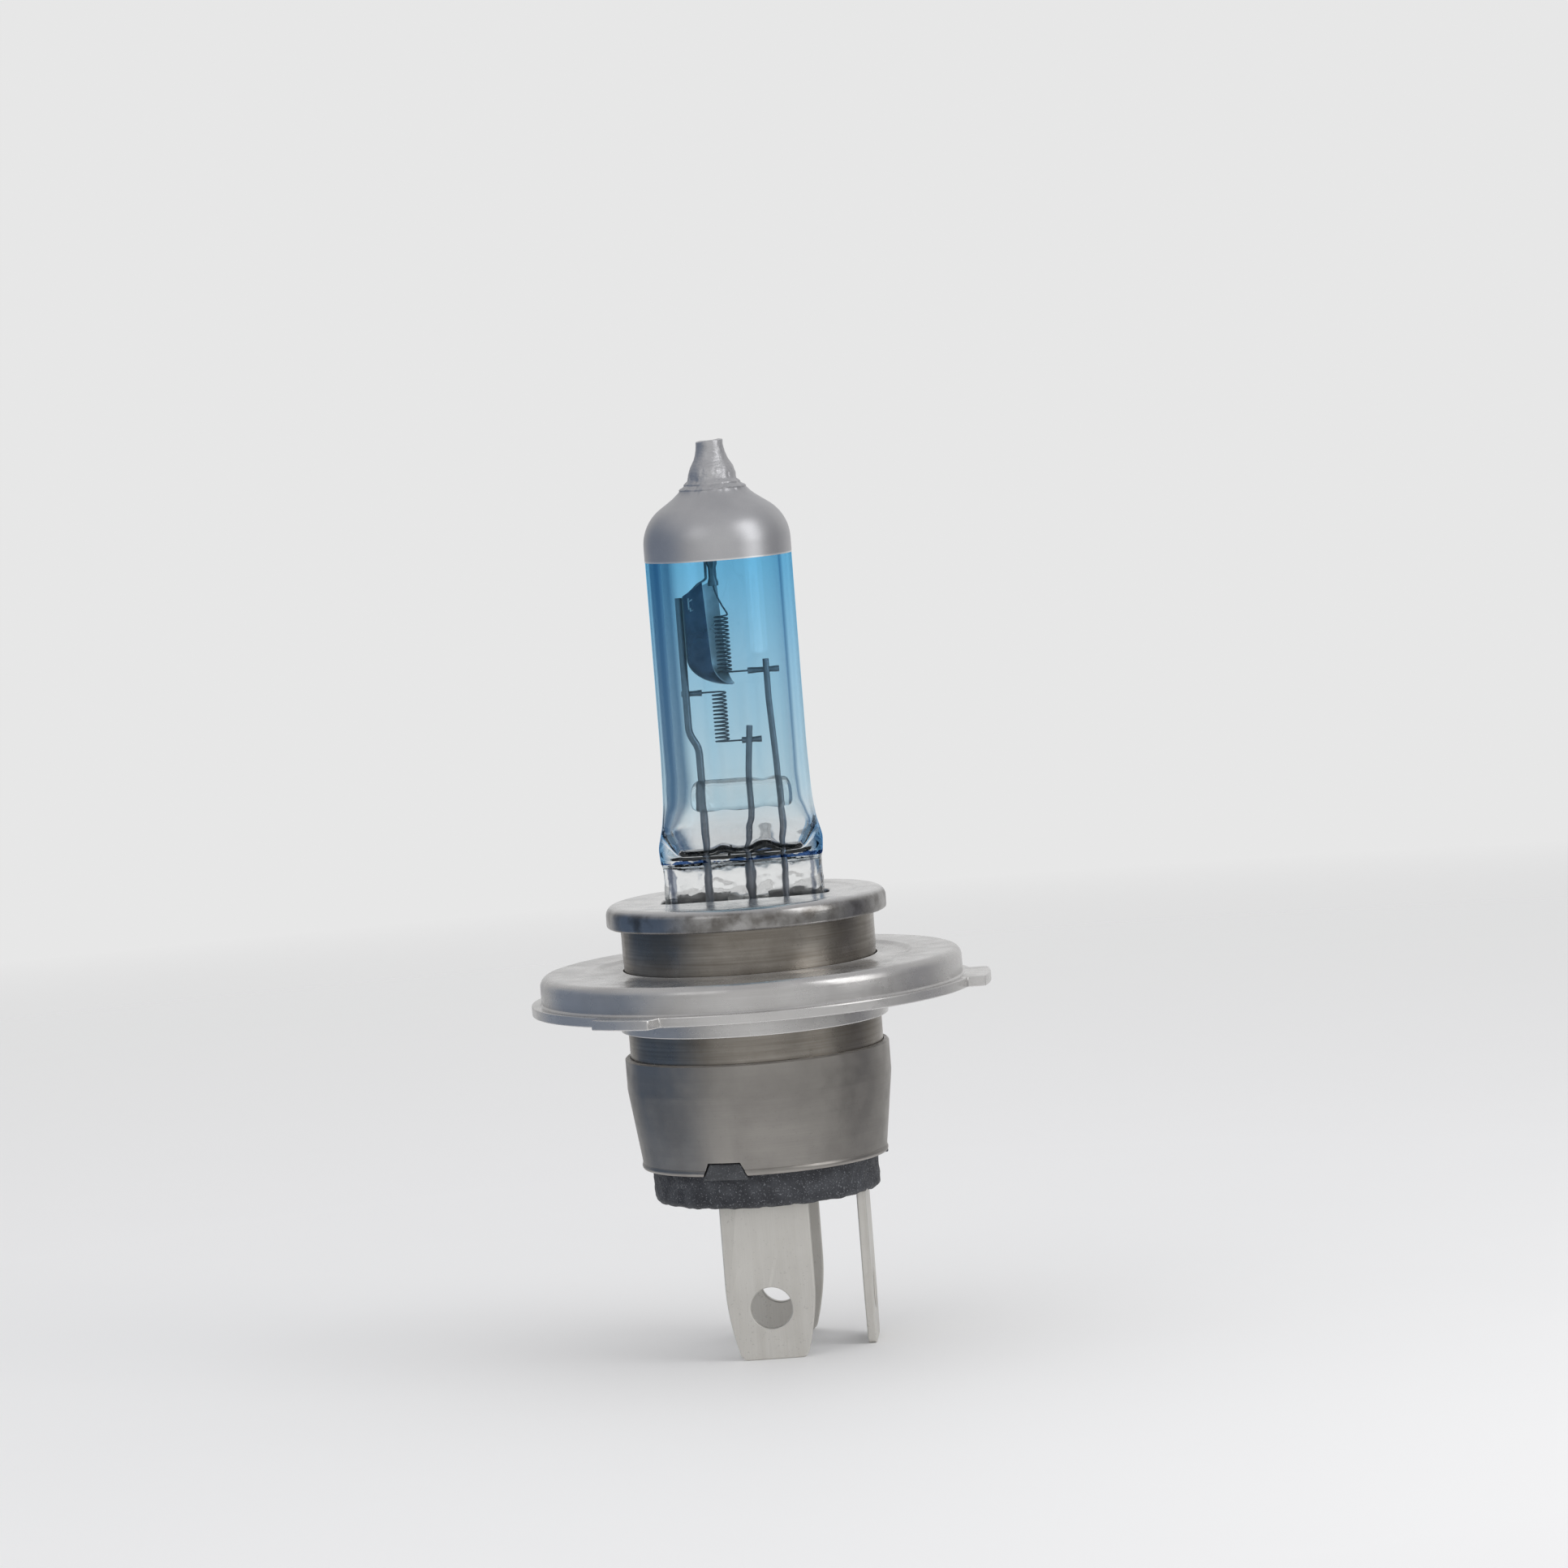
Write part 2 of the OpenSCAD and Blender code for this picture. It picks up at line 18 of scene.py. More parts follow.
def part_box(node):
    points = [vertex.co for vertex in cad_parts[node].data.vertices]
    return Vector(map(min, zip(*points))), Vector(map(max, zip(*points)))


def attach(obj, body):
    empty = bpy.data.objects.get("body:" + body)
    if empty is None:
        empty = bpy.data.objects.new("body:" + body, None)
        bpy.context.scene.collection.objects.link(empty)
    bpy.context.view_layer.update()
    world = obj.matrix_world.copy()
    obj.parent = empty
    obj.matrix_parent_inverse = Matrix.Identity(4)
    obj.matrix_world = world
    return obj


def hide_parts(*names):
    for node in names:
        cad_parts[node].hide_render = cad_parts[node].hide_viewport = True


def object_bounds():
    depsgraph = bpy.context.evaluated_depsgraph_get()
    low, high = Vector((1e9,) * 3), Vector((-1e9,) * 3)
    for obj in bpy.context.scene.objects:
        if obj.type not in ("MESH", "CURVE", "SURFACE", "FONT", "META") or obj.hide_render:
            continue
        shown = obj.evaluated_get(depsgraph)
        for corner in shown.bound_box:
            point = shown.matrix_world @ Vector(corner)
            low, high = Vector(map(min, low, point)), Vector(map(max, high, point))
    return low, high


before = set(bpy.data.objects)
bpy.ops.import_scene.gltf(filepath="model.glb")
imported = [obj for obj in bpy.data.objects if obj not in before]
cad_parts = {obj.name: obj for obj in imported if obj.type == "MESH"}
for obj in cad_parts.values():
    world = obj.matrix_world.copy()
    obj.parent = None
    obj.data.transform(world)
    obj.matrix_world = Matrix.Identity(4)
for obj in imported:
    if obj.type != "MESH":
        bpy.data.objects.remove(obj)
CAD_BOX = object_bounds()

LOG = logging.getLogger("headlight_bulb")
MM = 0.001
BODY = "root"
ByAngle = Callable[[float], float]
Station = tuple[float, float, float, float]
Colour = tuple[float, float, float]
Point = tuple[float, float]
Socket = bpy.types.NodeSocket
Value = Union[Socket, float, Colour]


class Facing(Enum):
    """Which way a skin's faces point."""

    OUT = "out"
    IN = "in"


class Grain(Enum):
    """Which way a metal's fine lines run."""

    AROUND = "around"
    UP = "up"
    ACROSS = "across"


class Slot(Enum):
    """The material slots that the record names."""

    CLEAR_GLASS = "clear_glass"
    BLUE_FILM = "blue_film"
    BRIDGE_GLASS = "bridge_glass"
    SILVER_PAINT = "silver_paint"
    MOLYBDENUM = "molybdenum"
    TUNGSTEN = "tungsten"
    BRIGHT_STEEL = "bright_steel"
    BASE_STEEL = "base_steel"
    BLACK_PLASTIC = "black_plastic"
    TINNED_BRASS = "tinned_brass"


# ---------- shapes ----------


@dataclass(frozen=True)
class Ring:
    """One turn of a skin: its distance from the axis and its height, each plain or by angle.

    A flatness below 1 crowds its vertices towards the ends of a section that is long in X.
    """

    radius: Union[float, ByAngle]
    height: Union[float, ByAngle]
    flatness: float = 1.0

    def turn(self, at: Vector) -> float:
        """How far round a vertex of this ring is."""
        return math.atan2(at.y / self.flatness, at.x)

    def at(self, turn: float) -> Vector:
        """The ring's point at a share of its turn.

        Args:
            turn: how far round it is, in radians.

        Returns:
            The point.
        """
        angle = math.atan2(self.flatness * math.sin(turn), math.cos(turn))
        radius = self.radius(angle) if callable(self.radius) else self.radius
        height = self.height(angle) if callable(self.height) else self.height
        return Vector((radius * math.cos(angle), radius * math.sin(angle), height))


def ease(low: float, high: float, value: float) -> float:
    """A smooth step from 0 at low to 1 at high."""
    t = min(max((value - low) / (high - low), 0.0), 1.0)
    return t * t * (3 - 2 * t)


def mix(a: float, b: float, t: float) -> float:
    """The value a share t of the way from a to b."""
    return a + (b - a) * t


def swell(value: float, middle: float, width: float) -> float:
    """A smooth hump of height 1 at the middle."""
    return math.exp(-(((value - middle) / width) ** 2))


def steps(low: float, high: float, count: int) -> list[float]:
    """Evenly spaced values from low to high, both included."""
    return [low + (high - low) * i / count for i in range(count + 1)]


def oval(half_x: float, half_y: float, squareness: float = 2.0) -> ByAngle:
    """A superellipse by angle.

    Args:
        half_x: its half width along X.
        half_y: its half width along Y.
        squareness: 2 for an ellipse, more for a bar with rounded corners.

    Returns:
        A function from an angle to the distance from the axis.
    """

    def radius(angle: float) -> float:
        """The outline's distance from the axis.

        Args:
            angle: the direction, in radians.

        Returns:
            The distance.
        """
        across = abs(math.cos(angle) / half_x) ** squareness
        along = abs(math.sin(angle) / half_y) ** squareness
        return (across + along) ** (-1 / squareness)

    return radius


def between(stations: Sequence[Station], height: float) -> Station:
    """The section at a height, on smooth curves through the stations.

    Args:
        stations: rows of height and three shape values, from low to high.
        height: where the section is wanted.

    Returns:
        The height and its three shape values.
    """
    last = len(stations) - 2
    i = min(max(sum(s[0] <= height for s in stations) - 1, 0), last)
    low, high = stations[i], stations[i + 1]
    before, after = stations[max(i - 1, 0)], stations[min(i + 2, last + 1)]
    span = high[0] - low[0]
    t = (height - low[0]) / span
    values = []
    for k in (1, 2, 3):
        rise_low = (high[k] - before[k]) / (high[0] - before[0]) * span
        rise_high = (after[k] - low[k]) / (after[0] - low[0]) * span
        values.append(
            (2 * t**3 - 3 * t**2 + 1) * low[k]
            + (t**3 - 2 * t**2 + t) * rise_low
            + (3 * t**2 - 2 * t**3) * high[k]
            + (t**3 - t**2) * rise_high
        )
    return height, values[0], values[1], values[2]


def arc(centre: Point, radius: float, start: float, end: float, count: int = 6) -> list[Point]:
    """Points round the turn of an edge.

    Args:
        centre: the arc's distance from the axis and its height.
        radius: the arc's radius.
        start: where it starts, in degrees from straight outwards.
        end: where it ends.
        count: how many steps it takes.

    Returns:
        The points, in order.
    """
    turns = [math.radians(a) for a in steps(start, end, count)]
    return [(centre[0] + radius * math.cos(a), centre[1] + radius * math.sin(a)) for a in turns]


def rounded(points: Sequence[Vector], reach: float, count: int = 6) -> list[Vector]:
    """A wire's route with its inner corners rounded.

    Args:
        points: the corners.
        reach: how far from a corner the bend starts.
        count: the steps in each bend.

    Returns:
        The rounded route.
    """
    route = [points[0]]
    for before, corner, after in zip(points, points[1:], points[2:]):
        enter = corner + (before - corner).normalized() * reach
        leave = corner + (after - corner).normalized() * reach
        for t in steps(0, 1, count):
            route.append((1 - t) ** 2 * enter + 2 * t * (1 - t) * corner + t**2 * leave)
    return route + [points[-1]]


def plain(points: Iterable[Point]) -> list[Ring]:
    """Round and level rings at distances from the axis and heights."""
    return [Ring(radius, height) for radius, height in points]


# ---------- modelling ----------


def deselect() -> None:
    """Leaves nothing selected, because an operator acts on all that is."""
    if bpy.context.object and bpy.context.object.mode != "OBJECT":
        bpy.ops.object.mode_set(mode="OBJECT")
    bpy.ops.object.select_all(action="DESELECT")


def begin(name: str, primitive: Callable, **settings) -> bpy.types.Object:
    """Adds a primitive with nothing else selected.

    Args:
        name: the new piece's name.
        primitive: the operator that adds it.
        **settings: the operator's settings.

    Returns:
        The piece, in object mode.
    """
    deselect()
    primitive(**settings)
    piece = bpy.context.object
    piece.name = piece.data.name = name
    return piece


def open_up(action: str = "SELECT") -> None:
    """Opens the active piece in edit mode by its vertices.

    Args:
        action: whether all of it or none of it is selected.
    """
    bpy.ops.object.mode_set(mode="EDIT")
    bpy.ops.mesh.select_mode(type="VERT")
    bpy.ops.mesh.select_all(action=action)


def pick(piece: bpy.types.Object) -> None:
    """Makes a piece the only one selected.

    Args:
        piece: the piece.
    """
    deselect()
    piece.select_set(True)
    bpy.context.view_layer.objects.active = piece


def pick_faces(piece: bpy.types.Object, wanted: Callable[[Vector, Vector], bool]) -> None:
    """Opens a piece in edit mode with only some faces selected.

    Args:
        piece: the piece.
        wanted: says from a face's middle and normal whether it is selected.
    """
    pick(piece)
    bpy.ops.object.mode_set(mode="EDIT")
    bpy.ops.mesh.select_mode(type="FACE")
    bpy.ops.mesh.select_all(action="DESELECT")
    mesh = bmesh.from_edit_mesh(piece.data)
    for face in mesh.faces:
        face.select_set(wanted(face.calc_center_median(), face.normal))
    bmesh.update_edit_mesh(piece.data)


def lay(piece: bpy.types.Object, place: Callable[[Vector], Vector]) -> None:
    """Moves the selected vertices.

    Args:
        piece: the piece in edit mode.
        place: says from where a vertex is where it goes.
    """
    mesh = bmesh.from_edit_mesh(piece.data)
    for vertex in mesh.verts:
        if vertex.select:
            vertex.co = place(vertex.co)
    bmesh.update_edit_mesh(piece.data)


def tidy(piece: bpy.types.Object, facing: Facing = Facing.OUT, crease: float = 35.0) -> None:
    """Merges doubles, points the faces one way and shades the piece.

    Args:
        piece: the piece.
        facing: which way its faces point.
        crease: edges sharper than this, in degrees, stay crisp.
    """
    pick(piece)
    open_up()
    bpy.ops.mesh.remove_doubles(threshold=0.0004 * MM)
    bpy.ops.mesh.normals_make_consistent(inside=facing is Facing.IN)
    bpy.ops.object.mode_set(mode="OBJECT")
    bpy.ops.object.shade_smooth_by_angle(angle=math.radians(crease))


def skin(name: str, rings: Sequence[Ring], segments: int = 128, closed: bool = False,
         facing: Facing = Facing.OUT) -> bpy.types.Object:
    """Extrudes a circle from ring to ring.

    Args:
        name: the piece's name.
        rings: the turns in order; a last ring of radius 0 closes to a point.
        segments: vertices in a turn.
        closed: whether the last ring joins the first, as on a washer.
        facing: which way the faces point.

    Returns:
        The finished piece.
    """
    piece = begin(name, bpy.ops.mesh.primitive_circle_add, vertices=segments, radius=MM,
                  fill_type="NOTHING")
    open_up()
    lay(piece, lambda at: rings[0].at(math.atan2(at.y, at.x)))
    if not closed:
        bpy.ops.mesh.edge_face_add()
    for last, ring in zip(rings, [*rings[1:], *([rings[0]] if closed else [])]):
        bpy.ops.mesh.extrude_edges_move() if closed else bpy.ops.mesh.extrude_region_move()
        lay(piece, lambda at: ring.at(last.turn(at)))
    tidy(piece, facing)
    return piece


def drawn(name: str, points: Sequence[Vector]) -> bpy.types.Object:
    """Draws a line by extruding one vertex from point to point.

    Args:
        name: the piece's name.
        points: the line's points.

    Returns:
        The piece, still in edit mode.
    """
    piece = begin(name, bpy.ops.mesh.primitive_plane_add, size=MM)
    open_up()
    bpy.ops.mesh.merge(type="CENTER")
    bpy.ops.transform.translate(value=points[0])
    for here, there in zip(points, points[1:]):
        bpy.ops.mesh.extrude_vertices_move(TRANSFORM_OT_translate={"value": there - here})
    return piece


def turned(name: str, profile: Sequence[Point], segments: int = 144) -> bpy.types.Object:
    """Spins a profile about the axis.

    Args:
        name: the piece's name.
        profile: distances from the axis and heights; it ends on the axis or where it starts.
        segments: steps in the turn.

    Returns:
        The finished piece.
    """
    piece = drawn(name, [Vector((radius, 0, height)) for radius, height in profile])
    bpy.ops.mesh.select_all(action="SELECT")
    bpy.ops.mesh.spin(steps=segments, angle=2 * math.pi, center=(0, 0, 0), axis=(0, 0, 1))
    tidy(piece)
    return piece


def plate(name: str, outline: Sequence[Point], thickness: float) -> bpy.types.Object:
    """Fills an outline in the XZ plane and gives it a thickness about that plane.

    Args:
        name: the piece's name.
        outline: its corners in order.
        thickness: its thickness along Y.

    Returns:
        The finished piece.
    """
    piece = drawn(name, [Vector((x, -thickness / 2, z)) for x, z in outline])
    bpy.ops.mesh.select_all(action="SELECT")
    bpy.ops.mesh.edge_face_add()
    bpy.ops.mesh.extrude_region_move(TRANSFORM_OT_translate={"value": (0, thickness, 0)})
    tidy(piece)
    return piece


def block(name: str, low: Vector, high: Vector) -> bpy.types.Object:
    """A box to cut with or to shape further.

    Args:
        name: the piece's name.
        low: its lowest corner.
        high: its highest corner.

    Returns:
        The box.
    """
    box = begin(name, bpy.ops.mesh.primitive_cube_add, size=1)
    return move(box, Matrix.Translation((low + high) / 2) @ Matrix.Diagonal((*(high - low), 1)))


def wire(name: str, points: Sequence[Vector], radius: float, sides: int = 4,
         thickness: Optional[Callable[[Vector], float]] = None) -> bpy.types.Object:
    """Sweeps a round wire along a route.

    Args:
        name: the piece's name.
        points: the route.
        radius: the wire's radius.
        sides: how finely its section is divided.
        thickness: how many times thicker it is at a point.

    Returns:
        The wire as a mesh.
    """
    piece = begin(name, bpy.ops.curve.primitive_nurbs_path_add)
    piece.data.splines.clear()
    line = piece.data.splines.new("POLY")
    line.points.add(len(points) - 1)
    for place, point in zip(line.points, points):
        place.co = (*point, 1)
        place.radius = thickness(point) if thickness else 1.0
    piece.data.bevel_depth = radius
    piece.data.bevel_resolution = sides
    piece.data.use_fill_caps = True
    bpy.ops.object.convert(target="MESH")
    piece = bpy.context.object
    piece.data.name = name
    tidy(piece)
    return piece


def join(pieces: Sequence[bpy.types.Object], name: str) -> bpy.types.Object:
    """Joins pieces into one mesh, in the first of them.

    Args:
        pieces: the pieces.
        name: the new name of the first.

    Returns:
        The first piece, which now holds them all.
    """
    deselect()
    for piece in pieces:
        piece.select_set(True)
    bpy.context.view_layer.objects.active = pieces[0]
    bpy.ops.object.join()
    pieces[0].name = pieces[0].data.name = name
    return pieces[0]


def move(piece: bpy.types.Object, place: Matrix) -> bpy.types.Object:
    """Moves a piece's mesh, and leaves its object at the origin."""
    piece.data.transform(place)
    return piece


def copy(piece: bpy.types.Object, name: str, place: Matrix) -> bpy.types.Object:
    """Copies a piece with a mesh of its own.

    Args:
        piece: the piece.
        name: the copy's name.
        place: where the copy's mesh goes.

    Returns:
        The copy.
    """
    pick(piece)
    bpy.ops.object.duplicate(linked=False)
    twin = bpy.context.object
    twin.name = twin.data.name = name
    return move(twin, place)


def spun(angle: float) -> Matrix:
    """A turn about the reference axis, in degrees."""
    return Matrix.Rotation(math.radians(angle), 4, "Z")


def along_x(piece: bpy.types.Object, height: float) -> bpy.types.Object:
    """Lays a skin that was made about Z along X at a height; its own height is then along X."""
    turn = Matrix.Rotation(math.radians(90), 4, "Y")
    return move(piece, Matrix.Translation((0, 0, height)) @ turn)


def apply(piece: bpy.types.Object, kind: str, **settings) -> None:
    """Adds a modifier, sets it and applies it.

    Args:
        piece: the piece.
        kind: the modifier's type.
        **settings: its properties.
    """
    pick(piece)
    modifier = piece.modifiers.new(kind.title(), kind)
    for key, value in settings.items():
        setattr(modifier, key, value)
    bpy.ops.object.modifier_apply(modifier=modifier.name)


def round_edges(piece: bpy.types.Object, width: float, segments: int = 3,
                limit: float = 32.0) -> None:
    """Rounds every sharp edge and shades the piece.

    Args:
        piece: the piece.
        width: how far the rounding reaches from an edge.
        segments: the steps across it.
        limit: how sharp an edge has to be, in degrees.
    """
    apply(piece, "BEVEL", width=width, segments=segments, limit_method="ANGLE",
          angle_limit=math.radians(limit), miter_outer="MITER_ARC")
    bpy.ops.object.shade_smooth_by_angle(angle=math.radians(35))


def carve(piece: bpy.types.Object, tool: bpy.types.Object, operation: str = "DIFFERENCE") -> None:
    """Cuts a tool out of a piece, or joins it on, and throws the tool away."""
    apply(piece, "BOOLEAN", operation=operation, object=tool, solver="EXACT")
    bpy.data.objects.remove(tool)


def lumps(piece: bpy.types.Object, size: float, depth: float,
          share: Optional[Callable[[Vector], float]] = None) -> None:
    """Pushes a surface in and out by a cloud pattern, as hand-worked glass or moulding is.

    Args:
        piece: the piece.
        size: the size of a lump.
        depth: how far the surface moves.
        share: how much of it applies at a vertex, from 0 to 1.
    """
    group = piece.vertex_groups.new(name="lumps")
    for vertex in piece.data.vertices:
        group.add([vertex.index], share(vertex.co) if share else 1.0, "REPLACE")
    texture = bpy.data.textures.new(f"{piece.name}_lumps", "CLOUDS")
    texture.noise_scale = size
    apply(piece, "DISPLACE", texture=texture, texture_coords="LOCAL", strength=depth,
          mid_level=0.5, vertex_group=group.name)
    piece.vertex_groups.clear()


# ---------- finishes ----------


class Nodes:
    """A node tree, and short ways to add to it."""

    def __init__(self, tree: bpy.types.NodeTree, output: str) -> None:
        """Empties a tree and gives it its output.

        Args:
            tree: the tree.
            output: the type of its output node.
        """
        self.tree = tree
        self.tree.nodes.clear()
        self.output = self.tree.nodes.new(output)

    def fill(self, socket: Socket, value: Value) -> None:
        """Joins a socket to another, or sets its number or colour.

        Args:
            socket: the socket.
            value: the other socket, the number or the colour.
        """
        if isinstance(value, Socket):
            self.tree.links.new(value, socket)
        elif isinstance(value, tuple) and socket.type == "RGBA":
            socket.default_value = (*value, 1)
        else:
            socket.default_value = value

    def add(self, kind: str, settings: Optional[dict] = None, **inputs: Value) -> bpy.types.Node:
        """Adds a node.

        Args:
            kind: the node's type, without its usual prefix.
            settings: its properties.
            **inputs: its sockets by name, with _ for a space.

        Returns:
            The node.
        """
        node = self.tree.nodes.new(f"ShaderNode{kind}")
        for key, value in (settings or {}).items():
            setattr(node, key, value)
        for key, value in inputs.items():
            self.fill(node.inputs[key.replace("_", " ")], value)
        return node

    def ramp(self, value: Value, low: float, high: float, start: float = 0.0,
             end: float = 1.0) -> Socket:
        """Maps one range on to another and holds the value inside it.

        Args:
            value: the value.
            low: where the first range starts.
            high: where it ends.
            start: where the second range starts.
            end: where it ends.

        Returns:
            The mapped value.
        """
        return self.add("MapRange", {"clamp": True}, Value=value, From_Min=low, From_Max=high,
                        To_Min=start, To_Max=end).outputs["Result"]

    def math(self, operation: str, *values: Value) -> Socket:
        """Does one sum.

        Args:
            operation: the sum's name.
            *values: one value or two.

        Returns:
            The result.
        """
        node = self.add("Math", {"operation": operation})
        for socket, value in zip(node.inputs, values):
            self.fill(socket, value)
        return node.outputs["Value"]

    def times(self, a: Value, b: Value) -> Socket:
        """One value times another."""
        return self.math("MULTIPLY", a, b)

    def plus(self, a: Value, b: Value) -> Socket:
        """One value plus another."""
        return self.math("ADD", a, b)

    def blend(self, share: Value, a: Value, b: Value) -> Socket:
        """Mixes two colours.

        Args:
            share: how much of the second there is, from 0 to 1.
            a: the first colour.
            b: the second colour.

        Returns:
            The mixed colour.
        """
        node = self.add("Mix", {"data_type": "RGBA"})
        for socket, value in zip((node.inputs[0], node.inputs[6], node.inputs[7]), (share, a, b)):
            self.fill(socket, value)
        return node.outputs[2]

    def close(self, shader: bpy.types.Node) -> None:
        """Joins a shader to the output."""
        self.tree.links.new(shader.outputs[0], self.output.inputs["Surface"])


class Shades(Nodes):
    """A material's nodes, with patterns in the piece's own coordinates."""

    def __init__(self, name: str) -> None:
        """Starts an empty material.

        Args:
            name: its name.
        """
        self.material = bpy.data.materials.new(name)
        self.material.use_nodes = True
        super().__init__(self.material.node_tree, "ShaderNodeOutputMaterial")
        self.place = self.add("TexCoord").outputs["Object"]

    def cloud(self, size: float, detail: float = 3.0, scale: Colour = (1, 1, 1),
              roughness: float = 0.55, place: Optional[Socket] = None) -> Socket:
        """A cloud pattern, from 0 to 1.

        Args:
            size: the size of a feature.
            detail: how many finer layers it has.
            scale: how it is squeezed along each axis.
            roughness: how strong the finer layers are.
            place: the coordinates, if they aren't the object's own.

        Returns:
            Its value.
        """
        at = self.add("Mapping", Vector=place or self.place, Scale=scale)
        return self.add("TexNoise", Vector=at.outputs["Vector"], Scale=1 / size, Detail=detail,
                        Roughness=roughness).outputs["Fac"]

    def axis(self, name: str) -> Socket:
        """One object coordinate."""
        return self.add("SeparateXYZ", Vector=self.place).outputs[name]

    def away(self) -> Socket:
        """The distance from the reference axis."""
        x, y = self.axis("X"), self.axis("Y")
        return self.math("SQRT", self.plus(self.times(x, x), self.times(y, y)))

    def round_place(self) -> Socket:
        """Object coordinates as distance from the axis, way round it and height.

        Returns:
            The coordinates, for a pattern's place.
        """
        turn = self.math("ARCTAN2", self.axis("Y"), self.axis("X"))
        return self.add("CombineXYZ", X=self.away(), Y=self.times(turn, 12 * MM),
                        Z=self.axis("Z")).outputs["Vector"]

    def edges(self) -> Socket:
        """How much a place stands out, over 0.5 on an outer edge."""
        return self.add("NewGeometry").outputs["Pointiness"]

    def surface(self, height: Socket, distance: float, **inputs: Value) -> bpy.types.Node:
        """A surface shader with a fine relief.

        Args:
            height: the relief.
            distance: how high the relief is.
            **inputs: the shader's sockets by name, with _ for a space.

        Returns:
            The shader.
        """
        relief = self.add("Bump", Height=height, Distance=distance)
        return self.add("BsdfPrincipled", Normal=relief.outputs["Normal"], **inputs)

    def show(self, shader: bpy.types.Node) -> bpy.types.Material:
        """The finished material, with this shader."""
        self.close(shader)
        return self.material

    def show_glass(self, shader: bpy.types.Node, lamp_tint: Colour) -> bpy.types.Material:
        """The finished material, with a glass that lamps shine through, tinted.

        Args:
            shader: the glass.
            lamp_tint: what a lamp's light is dimmed by at each face.

        Returns:
            The material.
        """
        clear = self.add("BsdfTransparent", Color=lamp_tint)
        both = self.add("MixShader", Fac=self.add("LightPath").outputs["Is Shadow Ray"])
        for socket, half in zip((both.inputs[1], both.inputs[2]), (shader, clear)):
            self.fill(socket, half.outputs[0])
        return self.show(both)


@dataclass(frozen=True)
class ClearGlass:
    """Hard glass, drawn smooth on the tube and pressed uneven in the pinch."""

    name: str = "hard_glass"
    tint: Colour = (0.93, 0.945, 0.945)
    lamp_tint: Colour = (0.94, 0.96, 0.97)
    ior: float = 1.5
    pinch_top: float = 11.6 * MM
    dimple: float = 1.6 * MM
    depth: float = 0.2 * MM
    frosting: float = 0.25
    # The dark, ragged band tinted along the pinch's edge beads is painted shade, standing for the dark
    # lines that refraction draws there.
    edge_x: float = 6.35 * MM
    painted_edge_band: Point = (0.36 * MM, 0.5 * MM)
    painted_edge_wave: float = 0.5 * MM
    painted_edge_shade: Colour = (0.13, 0.155, 0.21)

    def build(self) -> bpy.types.Material:
        """Makes the material.

        Returns:
            The material.
        """
        shades = Shades(self.name)
        height = shades.axis("Z")
        pressed = shades.ramp(height, self.pinch_top, self.pinch_top + 0.5 * MM, 1.0, 0.0)
        uneven = shades.times(shades.cloud(self.dimple, 2.0, (1, 1, 0.7)), pressed)
        patches = shades.ramp(shades.cloud(1.7 * MM, 4.0, (1, 1, 0.8), 0.6), 0.5, 0.53)
        frost = shades.times(shades.times(patches, pressed), self.frosting)
        # Painted shade: the glass is tinted dark in a ragged band at the edge beads, inside the pinch.
        off = shades.math("SUBTRACT", shades.math("ABSOLUTE", shades.axis("X")), self.edge_x)
        waves = shades.times(shades.cloud(0.9 * MM, 3.0), self.painted_edge_wave)
        ragged = shades.plus(shades.math("ABSOLUTE", off), waves)
        painted_edge_band = shades.times(shades.ramp(ragged, *self.painted_edge_band, 1.0, 0.0), pressed)
        tint = shades.blend(painted_edge_band, self.tint, self.painted_edge_shade)
        glass = shades.surface(uneven, self.depth, Base_Color=tint, Roughness=frost, IOR=self.ior,
                               Transmission_Weight=1.0)
        return shades.show_glass(glass, self.lamp_tint)


@dataclass(frozen=True)
class BeadGlass:
    """The bridge's glass, faintly rippled where it was pressed on to the wires."""

    name: str = "bead_glass"
    tint: Colour = (0.96, 0.975, 0.975)
    lamp_tint: Colour = (0.95, 0.97, 0.98)
    ior: float = 1.5
    ripple: float = 0.9 * MM
    depth: float = 0.03 * MM
    # The outline colour is painted shade: a dark rim tinted where the bead is seen edge-on, standing
    # for the rim that refraction draws.
    outline: Colour = (0.22, 0.27, 0.34)

    def build(self) -> bpy.types.Material:
        """Makes the material.

        Returns:
            The material.
        """
        shades = Shades(self.name)
        # Painted shade: the tint turns towards the outline colour where the surface is seen edge-on.
        facing = shades.add("LayerWeight", Blend=0.3).outputs["Facing"]
        tint = shades.blend(shades.ramp(facing, 0.45, 0.75), self.tint, self.outline)
        glass = shades.surface(shades.cloud(self.ripple, 1.0), self.depth, Base_Color=tint,
                               Roughness=0.0, IOR=self.ior, Transmission_Weight=1.0)
        return shades.show_glass(glass, self.lamp_tint)


